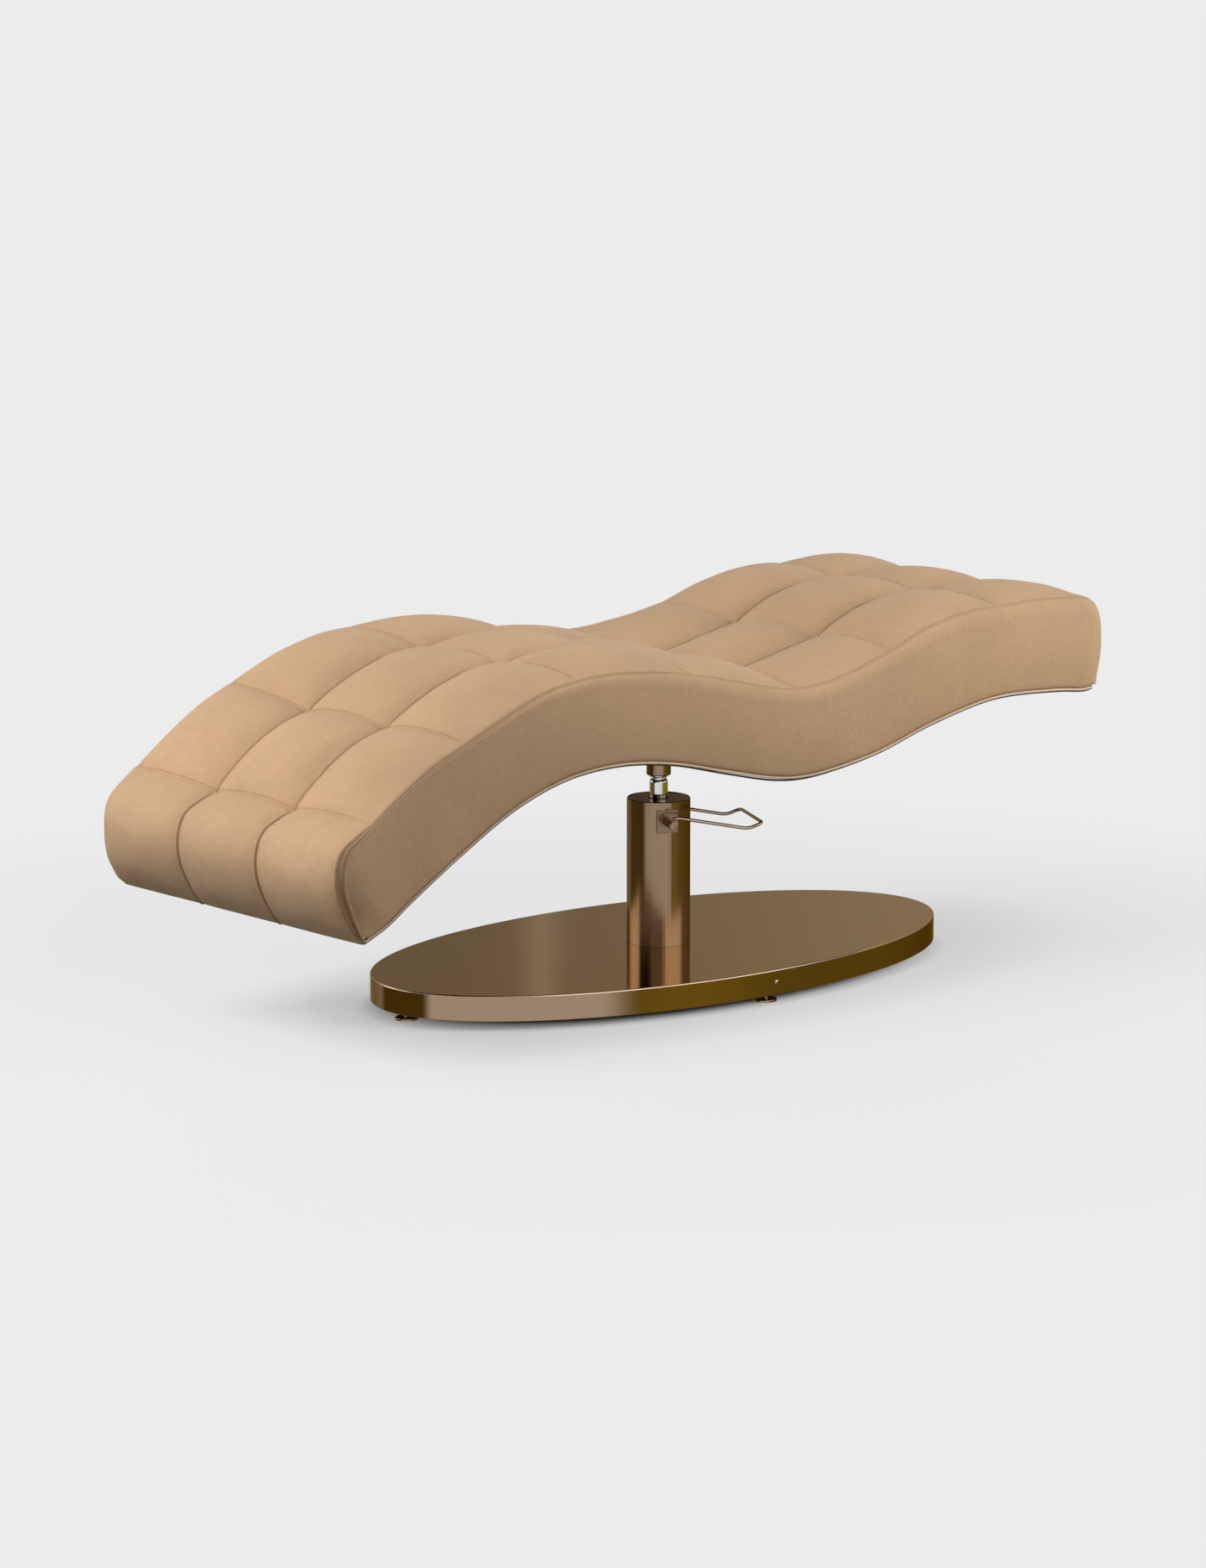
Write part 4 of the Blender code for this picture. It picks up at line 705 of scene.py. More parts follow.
class Pad:
    """The pad's surface as functions, for its mesh and for the stitches on it."""

    def __init__(self, runs):
        share = runs / TOP.length
        self.runs = runs
        self.top, self.normal = TOP.at(share)
        low, low_normal = UNDER.at(np.interp(share, TOP_ROWS, UNDER_ROWS))
        down = low + low_normal * (PIPING_DIAMETER + PIPING_GAP) - self.top
        self.depth = np.linalg.norm(down, axis=1)
        self.down = down / np.maximum(self.depth, 1e-6)[:, None]
        fade = bounded(self.depth / THIN_PAD)
        self.down = unit(self.down * fade[:, None] - self.normal * (1 - fade)[:, None])
        most = np.maximum(self.depth * 0.42, 0.0012)
        self.radius = np.minimum(np.interp(share, PLACES, WIDTHS), most)
        self.tall = np.minimum(np.interp(share, PLACES, HEIGHTS), most)
        self.arc = np.sqrt((self.radius**2 + self.tall**2) / 2) * math.pi / 2
        self.room = np.clip(self.arc / ROOMY_ARC, 0.05, 1)
        middle = np.clip(np.interp(share, PLACES, MARKS) * self.arc, 0.0033, None) * self.room
        half_band = EDGE_BAND * self.room
        self.marks = np.stack([middle - half_band, middle + half_band], axis=1)
        started = bounded((share - STITCH_START) / STITCH_FADE)
        self.stitched = started * bounded((STITCH_END - share) / STITCH_FADE)

    def raised(self, heights):
        """Points at these heights over the line of the top."""
        return self.top[:, None, :] + self.normal[:, None, :] * heights[..., None]

    def flat(self, y):
        """Points of the top at these widths, one row per station."""
        outer = (HALF - self.radius - LONG_SEAMS[1]) / (HALF - INSET - LONG_SEAMS[1])
        beyond = np.clip(np.abs(y) - LONG_SEAMS[1], 0, None)
        inner = np.minimum(np.abs(y), LONG_SEAMS[1])
        wide = np.sign(y)[None, :] * (inner[None, :] + beyond[None, :] * outer[:, None])
        run, across = grid(self.runs, y)
        height, crease_shade = relief(run, across)
        return in_space(self.raised(height + SETTLED.top(run, across)), wide), crease_shade

    def arc_runs(self):
        """Distances round the edge, close together beside its two rows of stitching."""
        first, second = self.marks[:, 0], self.marks[:, 1]
        step = 0.0009 * self.room
        near = [0 * first, first * 0.5, first - step * 0.7, first, first + step, (first + second) / 2]
        near += [second - step, second, second + step]
        tail = [second + step + (self.arc - second - step) * k for k in (0.12, 0.28, 0.46, 0.64, 0.82, 1.0)]
        return np.stack(near + tail, axis=1)

    def shoulder(self, distances, side):
        """Points round the edge, by their distance from the top face towards the side panel."""
        start, _ = self.flat(side * np.array([HALF - INSET - SLOPE_RUN, HALF - INSET]))
        rise = np.einsum("ijk,ik->ij", start[:, :, [0, 2]] - self.top[:, None, :], self.normal)
        slope = (rise[:, 1] - rise[:, 0]) / np.abs(start[:, 1, 1] - start[:, 0, 1])
        show = self.stitched[:, None]
        d, r, tall = distances, self.radius[:, None], self.tall[:, None]
        a = math.pi / 2 * d / self.arc[:, None]
        groove = gauss(d - self.marks[:, :1], EDGE_WIDTH) + gauss(d - self.marks[:, 1:], EDGE_WIDTH)
        faint = np.interp(self.runs / TOP.length, (0.0, 0.35, 0.55, 1.0), (1.0, 1.0, 0.75, 0.6))[:, None]
        inside = ((d > self.marks[:, :1]) & (d < self.marks[:, 1:])) * 1.0
        middle = self.marks.mean(axis=1)[:, None]
        foot = bounded((0.12 * TOP.length - self.runs) / 0.06)[:, None]
        size = np.clip(self.radius / 0.005, 0.1, 1)[:, None]
        dent = show * faint * (EDGE_DEPTH * groove + EDGE_SUNK * inside)
        dent = dent + (1 - show) * foot * size * CORNER_DENT * gauss(d - middle, DENT_WIDTH)
        wide = side * (HALF - r + (r - dent) * np.sin(a))
        fall = tall - (tall - dent) * np.cos(a)
        t = bounded(d / self.arc[:, None])
        lift = rise[:, 1:] * (1 + 2 * t) * (1 - t) ** 2 + (slope * self.arc)[:, None] * t * (1 - t) ** 2
        spot = self.raised(lift) + self.down[:, None, :] * fall[..., None]
        # Painted shade in the edge stitching's grooves and along the seam's dent at the foot's corners
        crease_shade = show * faint * 0.75 * groove + (1 - show) * foot * 1.6 * gauss(d - middle, CORNER_SHADE_WIDTH)
        return in_space(spot, wide), bounded(crease_shade)

    def side(self, shares, side):
        """Points down the side panel to its lower edge."""
        reach = np.maximum(self.depth - self.tall, 0)[:, None]
        below = reach * shares[None, :]
        above = reach - below
        fall = self.tall[:, None] + below
        run, share = grid(self.runs, shares)
        room = bounded(reach / 0.12)
        swell = 1 + 1.2 * gauss(run - 0.06 * TOP.length, 0.12)
        puff = SIDE_PUFF * swell * np.sin(np.pi * share) ** 0.8 * room + SETTLED.side(run, share, side)
        pleat = side_noise(run + 5 * side, below * 0.30) * np.exp(-below / 0.020)
        low_pleat = side_noise(run * 0.9 + 3 * side, below * 0.22 + 1.0) * np.exp(-above / 0.012)
        wave = slow_noise(run + 4 * side, below * 1.4 + 2)
        ends = bounded(share / 0.05) * bounded((1 - share) / 0.05)
        puff = puff + ends * room * (PLEAT * pleat + LOW_PLEAT * low_pleat + SIDE_WAVE * wave)
        wide = side * (HALF + puff - TUCK * gauss(above, 0.004))
        # Painted shade along the side panel's lower edge, where it tucks in above the piping, fading upwards
        crease_shade = 0.35 * gauss(above, 0.0035) + 0.10 * np.exp(-above / 0.02)
        return in_space(self.top[:, None, :] + self.down[:, None, :] * fall[..., None], wide), crease_shade


# The cloth simulation: its mesh step, its frames, and how much of what it does is kept
CLOTH_STEP, SIDE_POINTS, CLOTH_FRAMES = 0.0105, 15, 20
CLOTH_SETTINGS = {
    "quality": 6, "mass": 0.25, "tension_stiffness": 22, "compression_stiffness": 22, "shear_stiffness": 10,
    "bending_stiffness": 1.2, "air_damping": 4, "use_pressure": True, "uniform_pressure_force": 4.0,
    "vertex_group_mass": "held", "shrink_min": -0.012,
}
HELD_WITHIN = 0.001
TOP_SHARE, SIDE_SHARE = 0.8, 0.4
TOP_CALM, SIDE_CALM = 2, 14
LEAST, MOST_TOP, MOST_SIDE = -0.010, 0.016, 0.012


def grid_faces(rows, columns, turned=False):
    """The quads of a grid of points, turned over where asked."""
    index = np.arange(rows * columns).reshape(rows, columns)
    corners = [index[:-1, :-1], index[1:, :-1], index[1:, 1:], index[:-1, 1:]]
    if turned:
        corners[1], corners[3] = corners[3], corners[1]
    return np.stack(corners, axis=-1).reshape(-1, 4).tolist()


class Settled:
    """How far the cloth simulation moved the leather outwards, by its place on the pad."""

    def __init__(self):
        self.runs = None

    def read(self, table, across, run, at):
        (i, f), (j, g) = cell(self.runs, run), cell(across, at)
        return eased(lambda a, b: table[i + a, j + b], bounded(f), bounded(g))

    def top(self, run, y):
        return 0 if self.runs is None else self.read(self.top_table, self.columns, run, y)

    def side(self, run, share, side):
        if self.runs is None:
            return 0
        return self.read(self.near_table if side < 0 else self.far_table, self.shares, run, share)

    @staticmethod
    def calmed(table, times):
        """The table with its small wrinkles smoothed away, its border kept."""
        for _ in range(times):
            beside = table[:-2, 1:-1] + table[2:, 1:-1] + table[1:-1, :-2] + table[1:-1, 2:]
            table[1:-1, 1:-1] = (beside + 4 * table[1:-1, 1:-1]) / 8
        return table

    @staticmethod
    def stations(marks):
        """Even steps between the marks, with every mark among them."""
        found = [spaced(low, high, CLOTH_STEP) for low, high in zip(marks, marks[1:])]
        return np.unique(np.round(np.concatenate(found), 6))

    @staticmethod
    def settle(mesh, held):
        """Where the cloth simulation leaves a mesh's points."""
        scene = bpy.context.scene
        sheet = linked("settling", mesh)
        pins = sheet.vertex_groups.new(name="held")
        pins.add(np.nonzero(held.reshape(-1))[0].tolist(), 1.0, "REPLACE")
        cloth = sheet.modifiers.new("cloth", "CLOTH")
        for key, value in CLOTH_SETTINGS.items():
            setattr(cloth.settings, key, value)
        cloth.settings.effector_weights.gravity = 0
        cloth.point_cache.frame_start, cloth.point_cache.frame_end = 1, CLOTH_FRAMES
        for moment in range(1, CLOTH_FRAMES + 1):
            scene.frame_set(moment)
        settled = np.zeros(held.size * 3)
        seen = sheet.evaluated_get(bpy.context.evaluated_depsgraph_get()).data
        seen.vertices.foreach_get("co", settled)
        scene.frame_set(1)
        bpy.data.objects.remove(sheet)
        return settled.reshape(*held.shape, 3)

    def simulate(self):
        """Inflate the leather between its seams as cloth, with every seam and edge held."""
        runs, columns = self.stations(ROW_LINES), self.stations(COLUMN_LINES)
        shares = np.linspace(0, 1, SIDE_POINTS)
        shape = Pad(runs)
        near, far = shape.side(shares[::-1], -1)[0], shape.side(shares, 1)[0]
        points = np.concatenate([near, shape.flat(columns)[0], far], axis=1)
        rows, count = points.shape[:2]
        first, last = len(shares), len(shares) + len(columns) - 1
        top = slice(first, last + 1)
        held = np.zeros((rows, count), bool)
        held[[0, -1]] = True
        held[:, [0, first - 1, first, last, last + 1, count - 1]] = True
        to_row = np.min(np.abs(runs[:, None] - SEAM_ROWS[None, :-1]), axis=1)
        held[to_row < HELD_WITHIN, top] = True
        to_long = np.min(np.abs(columns[:, None] - LONG_SEAMS[None, :]), axis=1)
        held[:, top] |= (to_long < HELD_WITHIN)[None, :]
        mesh = mesh_of("settling", points.reshape(-1, 3).tolist(), grid_faces(rows, count, turned=True))
        if mesh.polygons[rows // 2 * (count - 1) + count // 2].normal.z < 0:
            mesh.flip_normals()
        moved = self.settle(mesh, held) - points
        normal = in_space(shape.normal, np.zeros(rows))
        lift = np.clip(np.einsum("ijk,ik->ij", moved[:, top], normal), LEAST, MOST_TOP)
        near_out = np.clip(-moved[:, :first, 1][:, ::-1], LEAST, MOST_SIDE)
        far_out = np.clip(moved[:, last + 1 :, 1], LEAST, MOST_SIDE)
        self.top_table = TOP_SHARE * self.calmed(lift, TOP_CALM) * ~held[:, top]
        self.near_table = SIDE_SHARE * self.calmed(near_out, SIDE_CALM)
        self.far_table = SIDE_SHARE * self.calmed(far_out, SIDE_CALM)
        self.runs, self.columns, self.shares = runs, columns, shares


SETTLED = Settled()
SETTLED.simulate()

# How finely the pad's mesh is divided, and its lines beside each seam
MESH_STEP = 0.0075
BESIDE_ROW = (0.0, 0.0010, 0.0019, 0.0028, 0.0037, 0.0048, 0.0064, 0.0088, 0.0120)
BESIDE_LONG = (0.0, 0.0012, 0.0024, 0.0036, 0.0050, 0.0068, 0.0092, 0.0120)


def pad():
    """The whole leather, with the painted shade of its creases kept on each point."""
    shape = Pad(lines(ROW_LINES, SEAM_ROWS, BESIDE_ROW, MESH_STEP))
    round_edge = shape.arc_runs()
    near_arc, near_arc_shade = shape.shoulder(round_edge[:, ::-1], -1)
    far_arc, far_arc_shade = shape.shoulder(round_edge, 1)
    pieces = [
        shape.side(SIDE_SHARES[::-1], -1),
        (near_arc[:, :-1], near_arc_shade[:, :-1]),
        shape.flat(lines(COLUMN_LINES, LONG_SEAMS, BESIDE_LONG, MESH_STEP)),
        (far_arc[:, 1:], far_arc_shade[:, 1:]),
        shape.side(SIDE_SHARES, 1),
    ]
    points, dark = (np.concatenate(part, axis=1) for part in zip(*pieces))
    mesh = mesh_of("leather_pad", points.reshape(-1, 3).tolist(), grid_faces(*points.shape[:2]))
    # The painted crease shade is kept on the mesh for the leather's colour
    layer = mesh.attributes.new("crease_shade", "FLOAT", "POINT")
    layer.data.foreach_set("value", dark.reshape(-1).astype(np.float32))
    shell = bmesh.new()
    shell.from_mesh(mesh)
    bmesh.ops.remove_doubles(shell, verts=shell.verts, dist=WELD)
    bmesh.ops.recalc_face_normals(shell, faces=shell.faces)
    top_face = max(shell.faces, key=lambda f: f.calc_center_median().z)
    if top_face.normal.z < 0:
        bmesh.ops.reverse_faces(shell, faces=shell.faces)
    smooth_mesh(shell, mesh)
    made = add_object("leather_pad", mesh, LEATHER, "bed", ["leather_cover", "foam_core"])
    wall = made.modifiers.new("leather", "SOLIDIFY")
    wall.thickness = COVER_THICKNESS
    wall.offset = -1
    wall.use_rim = True


# Threads of the topstitching: their size, their distance and how they lie
THREAD_LENGTH, THREAD_WIDTH, THREAD_PITCH = 0.0030, 0.00042, 0.0042
THREAD_SLANT, THREAD_RISE, THREAD_DIP = 0.00012, 0.00012, 0.00045
FULL_SHARE, THREAD_HEIGHT = 0.28, 1.1
CROSS_SAMPLES, EDGE_SAMPLES = 420, 1400
EDGE_START, EDGE_END = 0.058, 0.925


def stitches(name, rows):
    """Short slanted threads along rows of points; each row is its points and their outward normals."""
    verts, faces = [], []
    for path, normals in rows:
        steps = np.linalg.norm(np.diff(path, axis=0), axis=1)
        run = np.concatenate([[0], np.cumsum(steps)])
        count = int(run[-1] / THREAD_PITCH)
        if count < 1:
            continue
        middles = (np.arange(count) + 0.5) * run[-1] / count
        sample = lambda values, at: np.stack([np.interp(at, run, values[:, k]) for k in range(3)], axis=1)
        start, end = sample(path, middles - THREAD_LENGTH / 2), sample(path, middles + THREAD_LENGTH / 2)
        up = unit(sample(normals, middles))
        way = end - start
        way /= np.maximum(np.linalg.norm(way, axis=1), 1e-9)[:, None]
        side = unit(np.cross(up, way))
        slant, reach = THREAD_SLANT * side, way * THREAD_LENGTH * FULL_SHARE
        centre = (start + end) / 2 + up * THREAD_RISE
        ring = [start - up * THREAD_DIP + slant, end - up * THREAD_DIP - slant]
        wide, high, deep = side * THREAD_WIDTH, up * THREAD_WIDTH * THREAD_HEIGHT, up * THREAD_WIDTH
        for out in (wide, high, -wide, -deep):
            ring += [centre - reach + out + slant, centre + reach + out - slant]
        base = len(verts)
        verts.extend(np.stack(ring, axis=1).reshape(-1, 3).tolist())
        for tip in range(base, len(verts), len(ring)):
            for j in range(4):
                here, there = tip + 2 + 2 * j, tip + 2 + 2 * ((j + 1) % 4)
                faces.append((here, here + 1, there + 1, there))
                faces += [(tip, here, there), (tip + 1, there + 1, here + 1)]
    mesh = mesh_of(name, verts, faces)
    shape = bmesh.new()
    shape.from_mesh(mesh)
    bmesh.ops.recalc_face_normals(shape, faces=shape.faces)
    add_object(name, smooth_mesh(shape, mesh), THREAD, "bed", ())


def stitch_rows():
    across = []
    y = np.linspace(INSET - HALF, HALF - INSET, CROSS_SAMPLES)
    for seam in SEAM_ROWS[:-1]:
        for sign in (-1, 1):
            line = Pad(np.array([seam + sign * BAND]))
            normal = np.array([line.normal[0][0], 0, line.normal[0][1]])
            across.append((line.flat(y)[0][0], np.repeat(normal[None, :], len(y), axis=0)))
    stitches("cross_stitching", across)
    along = []
    edge = Pad(np.linspace(EDGE_START * TOP.length, EDGE_END * TOP.length, EDGE_SAMPLES))
    for side in (-1, 1):
        for mark in (0, 1):
            points, _ = edge.shoulder(edge.marks[:, mark : mark + 1], side)
            turn = edge.marks[:, mark] / edge.radius
            normals = in_space(edge.normal * np.cos(turn)[:, None], side * np.sin(turn))
            along.append((points[:, 0], normals))
    stitches("edge_stitching", along)


pad()
stitch_rows()


# Piping, and a dark hem cord that is partly the dust cover's edge and partly painted shade under the piping
CORD_SAMPLES, HEAD_SAMPLES = 330, 24
CORNER, CORNER_STEPS = 0.007, 9
PIPING_RADIUS, PIPING_SIDES, PIPING_INSET = PIPING_DIAMETER / 2, 14, -0.0008
HEM_RADIUS, HEM_SIDES, HEM_INSET = 0.0018, 8, 0.0008
HEM_OFFSET, HEM_DIP = -0.0006, 0.0020


def lower_edge(offset, radius, inset, dip=0.0):
    """A cord's route round the lower edge: near side, head end and far side."""
    shares = np.linspace(0.001, 1 - radius / UNDER.length, CORD_SAMPLES)
    point, left = UNDER.at(shares)
    line = point + left * (offset - dip * gauss(point[:, :1] - 0.03, 0.14))
    side = HALF - radius - inset
    near = [(x + HEAD_SHIFT * bounded((x - line[-1][0]) / 0.05 + 1), -side, z) for x, z in line]
    end_x, _, end_z = near[-1]
    half = [p for p in near if p[0] < end_x - CORNER]
    for step in range(1, CORNER_STEPS):
        a = math.pi / 2 * step / CORNER_STEPS
        x = end_x - CORNER * (1 - math.sin(a))
        z = np.interp(x - HEAD_SHIFT, line[:, 0][-60:], line[:, 1][-60:])
        half.append((x, -side + CORNER * (1 - math.cos(a)), z))
    head = [(end_x, y, end_z) for y in np.linspace(-side + CORNER, side - CORNER, HEAD_SAMPLES)]
    return [*half, *head, *[(x, -y, z) for x, y, z in reversed(half)]]


CORD = lower_edge(PIPING_RADIUS, PIPING_RADIUS, PIPING_INSET)
tube("piping_cord", CORD, PIPING_RADIUS, PIPING_SIDES, PIPING, "bed", ["piping"])
HEM_ROUTE = lower_edge(HEM_OFFSET, HEM_RADIUS, HEM_INSET, HEM_DIP)
tube("hem_and_shade_cord", HEM_ROUTE, HEM_RADIUS, HEM_SIDES, HEM_AND_SHADE, "bed", ())


# Metal of the base
COVER_SIDES, COVER_ROUNDING, COVER_SHARP = 288, 7, 35
SCREW_SHARP, TUBE_SHARP, PLATE_SHARP = 38, 30, 24


def base_cover():
    """The oval cover: a flat top, its softened edge, the turned-down rim and the open inside."""
    ceiling = BASE_TOP - BASE_WALL
    outer = [(0.0004, BASE_LOW), (0.0, BASE_LOW + 0.0004), (0.0, BASE_LOW + 0.0012)]
    outer.append((0.0, BASE_TOP - BASE_BEVEL - 0.0008))
    for step in range(COVER_ROUNDING):
        a = math.pi / 2 * step / (COVER_ROUNDING - 1)
        outer.append((BASE_BEVEL * (1 - math.cos(a)), BASE_TOP - BASE_BEVEL * (1 - math.sin(a))))
    outer += [(BASE_BEVEL + 0.0008, BASE_TOP), (BASE_BEVEL + 0.012, BASE_TOP)]
    inner = [(BASE_WALL, BASE_LOW), (BASE_WALL, BASE_LOW + 0.0012), (BASE_WALL, ceiling - 0.0030)]
    inner.append((BASE_WALL + 0.0025, ceiling))
    angles = np.linspace(0, 2 * math.pi, COVER_SIDES, endpoint=False)
    across, along = np.cos(angles), np.sin(angles)
    oval = np.stack([COLUMN_X + BASE_HALF_LENGTH * across, BASE_HALF_WIDTH * along], axis=1)
    normal = unit(np.stack([across / BASE_HALF_LENGTH, along / BASE_HALF_WIDTH], axis=1))
    shape = bmesh.new()

    def ring(inset, height):
        return [shape.verts.new((*place, height)) for place in oval - inset * normal]

    def wall(rings):
        for low, high in zip(rings, rings[1:]):
            for i in range(COVER_SIDES):
                j = (i + 1) % COVER_SIDES
                shape.faces.new((low[i], low[j], high[j], high[i]))

    outside = [ring(*spot) for spot in outer]
    inside = [ring(*spot) for spot in inner]
    wall(outside)
    wall([outside[0], *inside])
    shape.faces.new(outside[-1])
    shape.faces.new(inside[-1])
    bmesh.ops.recalc_face_normals(shape, faces=shape.faces)
    mesh = smooth_mesh(shape, bpy.data.meshes.new("base_shell"), COVER_SHARP)
    add_object("base_shell", mesh, GOLD_TOP, "base", ["base_cover"])


SIDES = ("near", "far")
ENDS = ("front", "rear")
base_cover()
refine_each("rim_screw", SIDES, GOLD_SMALL, "base", "bronze_gold", 0.00015, SCREW_SHARP)
for place in ("head", "far", "foot", "near"):
    refine("levelling_foot_" + place, GOLD_SMALL, "levelling_foot_" + place, "bronze_gold", 0.0004)
    refine("foot_nut_" + place, STEEL, "base", "zinc_steel", 0.0005)
refine_each("flange_bolt", range(1, 5), STEEL, "base", "zinc_steel", 0.0004)
refine_each("rim_bracket", SIDES, STEEL, "base", "zinc_steel", 0.0008)
refine("ballast_plate", IRON, "base", "cast_iron", 0.0006)

# Column, ram and collar
ROD, NECK, RAM_STEPS, WIPER_STEPS = 0.0172, 0.0146, 96, 72
WIPER = (
    (0.0174, 0.3340), (0.0196, 0.3340), (0.0196, 0.3347),
    (0.0190, 0.3353), (0.0180, 0.3353), (0.0174, 0.3349),
)
refine("column_tube", GOLD_TURNED, "base", "bronze_gold", 0.0, TUBE_SHARP)
refine("column_cap", CAP, "base", "dark_cap", 0.0005)


def ram():
    """The chrome piston: a straight rod, a rounded shoulder, a narrow neck and a bead under the collar."""
    bottom, top = (float(corner[2]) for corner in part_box("ram"))
    outline = [
        (0, bottom), (ROD, bottom), (ROD, bottom + 0.001), (ROD, 0.3560), (ROD, 0.3640), (ROD, 0.3655),
        (ROD - 0.0002, 0.3668), (ROD - 0.0007, 0.3679), (ROD - 0.0014, 0.3687), (NECK + 0.0004, 0.3692),
        (NECK, 0.3697), (NECK, 0.3703), (NECK, 0.3712), (NECK + 0.0005, 0.3717), (NECK + 0.0009, 0.3724),
        (NECK + 0.0010, 0.3731), (NECK + 0.0009, 0.3738), (NECK + 0.0005, 0.3745), (NECK, 0.3750),
        (NECK, 0.3758), (NECK, top - 0.001), (NECK, top), (0, top),
    ]
    revolve("chrome_ram", outline, RAM_STEPS, CHROME, "lift_ram", ["ram"])


ram()
revolve("wiper_lip", WIPER, WIPER_STEPS, RUBBER, "base", ())
refine("swivel_collar", GOLD_TURNED, "bed", "bronze_gold", 0.0003)
refine_each("grub_screw", SIDES, STEEL, "bed", "zinc_steel", 0.0002)

# Pump lever: its wire's bends and their rounding, in the plane of its swing and out along its shaft
WIRE_RADIUS, WIRE_SIDES = 0.0031, 20
BEND, BEND_STEPS, SAME_POINT = 0.012, 10, 0.0002
HUB_END, FIRST_BEND, LAST_BEND, GRIP_END = 0.0118, (0.009, 0.014), (0.145, -0.0127), (0.172, -0.0026)
INWARD_BEND = 0.072
FRONT, REAR_GRIP, REAR_HUB = 0.099, -0.046, -0.075
refine_each("lever_plate", ENDS, GOLD_PLATE, "base", "bronze_gold", 0.0009, PLATE_SHARP, 3)
refine_each("lever_hub", ENDS, GOLD_SMALL, "pump_lever", "bronze_gold", 0.0004)
refine_each("lever_screw", ENDS, GOLD_SMALL, "pump_lever", "zinc_steel", 0.0002)


def lever_rod():
    """The bent wire, from the front hub out to its grip and back to the rear hub."""
    out = Vector((math.cos(LEVER_AZIMUTH), math.sin(LEVER_AZIMUTH), 0))
    up = Vector((0, 0, 1))
    along = up.cross(out)
    slope = (LAST_BEND[1] - FIRST_BEND[1]) / (LAST_BEND[0] - FIRST_BEND[0])
    inward = (INWARD_BEND, FIRST_BEND[1] + slope * (INWARD_BEND - FIRST_BEND[0]))
    points = [
        Vector((0, HUB_END, FRONT)), *[Vector((*spot, FRONT)) for spot in (FIRST_BEND, LAST_BEND, GRIP_END)],
        *[Vector((*spot, REAR_GRIP)) for spot in (GRIP_END, LAST_BEND, inward)],
        Vector((*FIRST_BEND, REAR_HUB)), Vector((0, HUB_END, REAR_HUB)),
    ]
    made = [points[0]]
    for before, corner, after in zip(points, points[1:], points[2:]):
        back, on = before - corner, after - corner
        reach = min(BEND, back.length / 2, on.length / 2)
        first, last = corner + back.normalized() * reach, corner + on.normalized() * reach
        for step in range(BEND_STEPS + 1):
            t = step / BEND_STEPS
            made.append((1 - t) ** 2 * first + 2 * t * (1 - t) * corner + t**2 * last)
    made.append(points[-1])
    unique = [made[0]]
    for p in made[1:]:
        if (p - unique[-1]).length > SAME_POINT:
            unique.append(p)
    centre = Vector((COLUMN_X, 0, LEVER_HEIGHT))
    wire = [centre + along * p.x + up * p.y + out * p.z for p in unique]
    tube("lever_bar", wire, WIRE_RADIUS, WIRE_SIDES, GOLD_SMALL, "pump_lever", ["lever_rod"])


lever_rod()

# Hidden pieces keep their CAD shape
FINISHES = {
    "black_cloth": CLOTH, "plywood": PLYWOOD, "foam": FOAM, "zinc_steel": STEEL, "cast_iron": IRON,
    "bearing_bronze": BRONZE, "rubber": RUBBER, "chrome": CHROME, "bronze_gold": GOLD_TURNED, "dark_cap": CAP,
    "caramel_leather": LEATHER, "piping_leather": PIPING,
}
for part in frame["record"]["subparts"]:
    data = NODES[part["node"]].data
    data.materials.clear()
    data.materials.append(FINISHES[part["material_slot"]])


# Studio
BACKGROUND = linear((236, 236, 236))[0]
PALE = (BACKGROUND, BACKGROUND, BACKGROUND, 1)
FLOOR_SIZE = 30
FLOOR_GLOW = 0.77
FLOOR_BOUNCE = 0.20
WHITE, SOFT_WHITE, WARM, COOL = (1, 1, 1), (1.0, 0.985, 0.955), (1.0, 0.74, 0.08), (0.94, 1.05, 1.28)
# The direction from the object to the photograph's camera
TO_CAMERA = math.radians(-130.64)
AMBIENT, PANEL_LEVEL, STRIP_LEVEL = 0.06, 3.2, 0.42


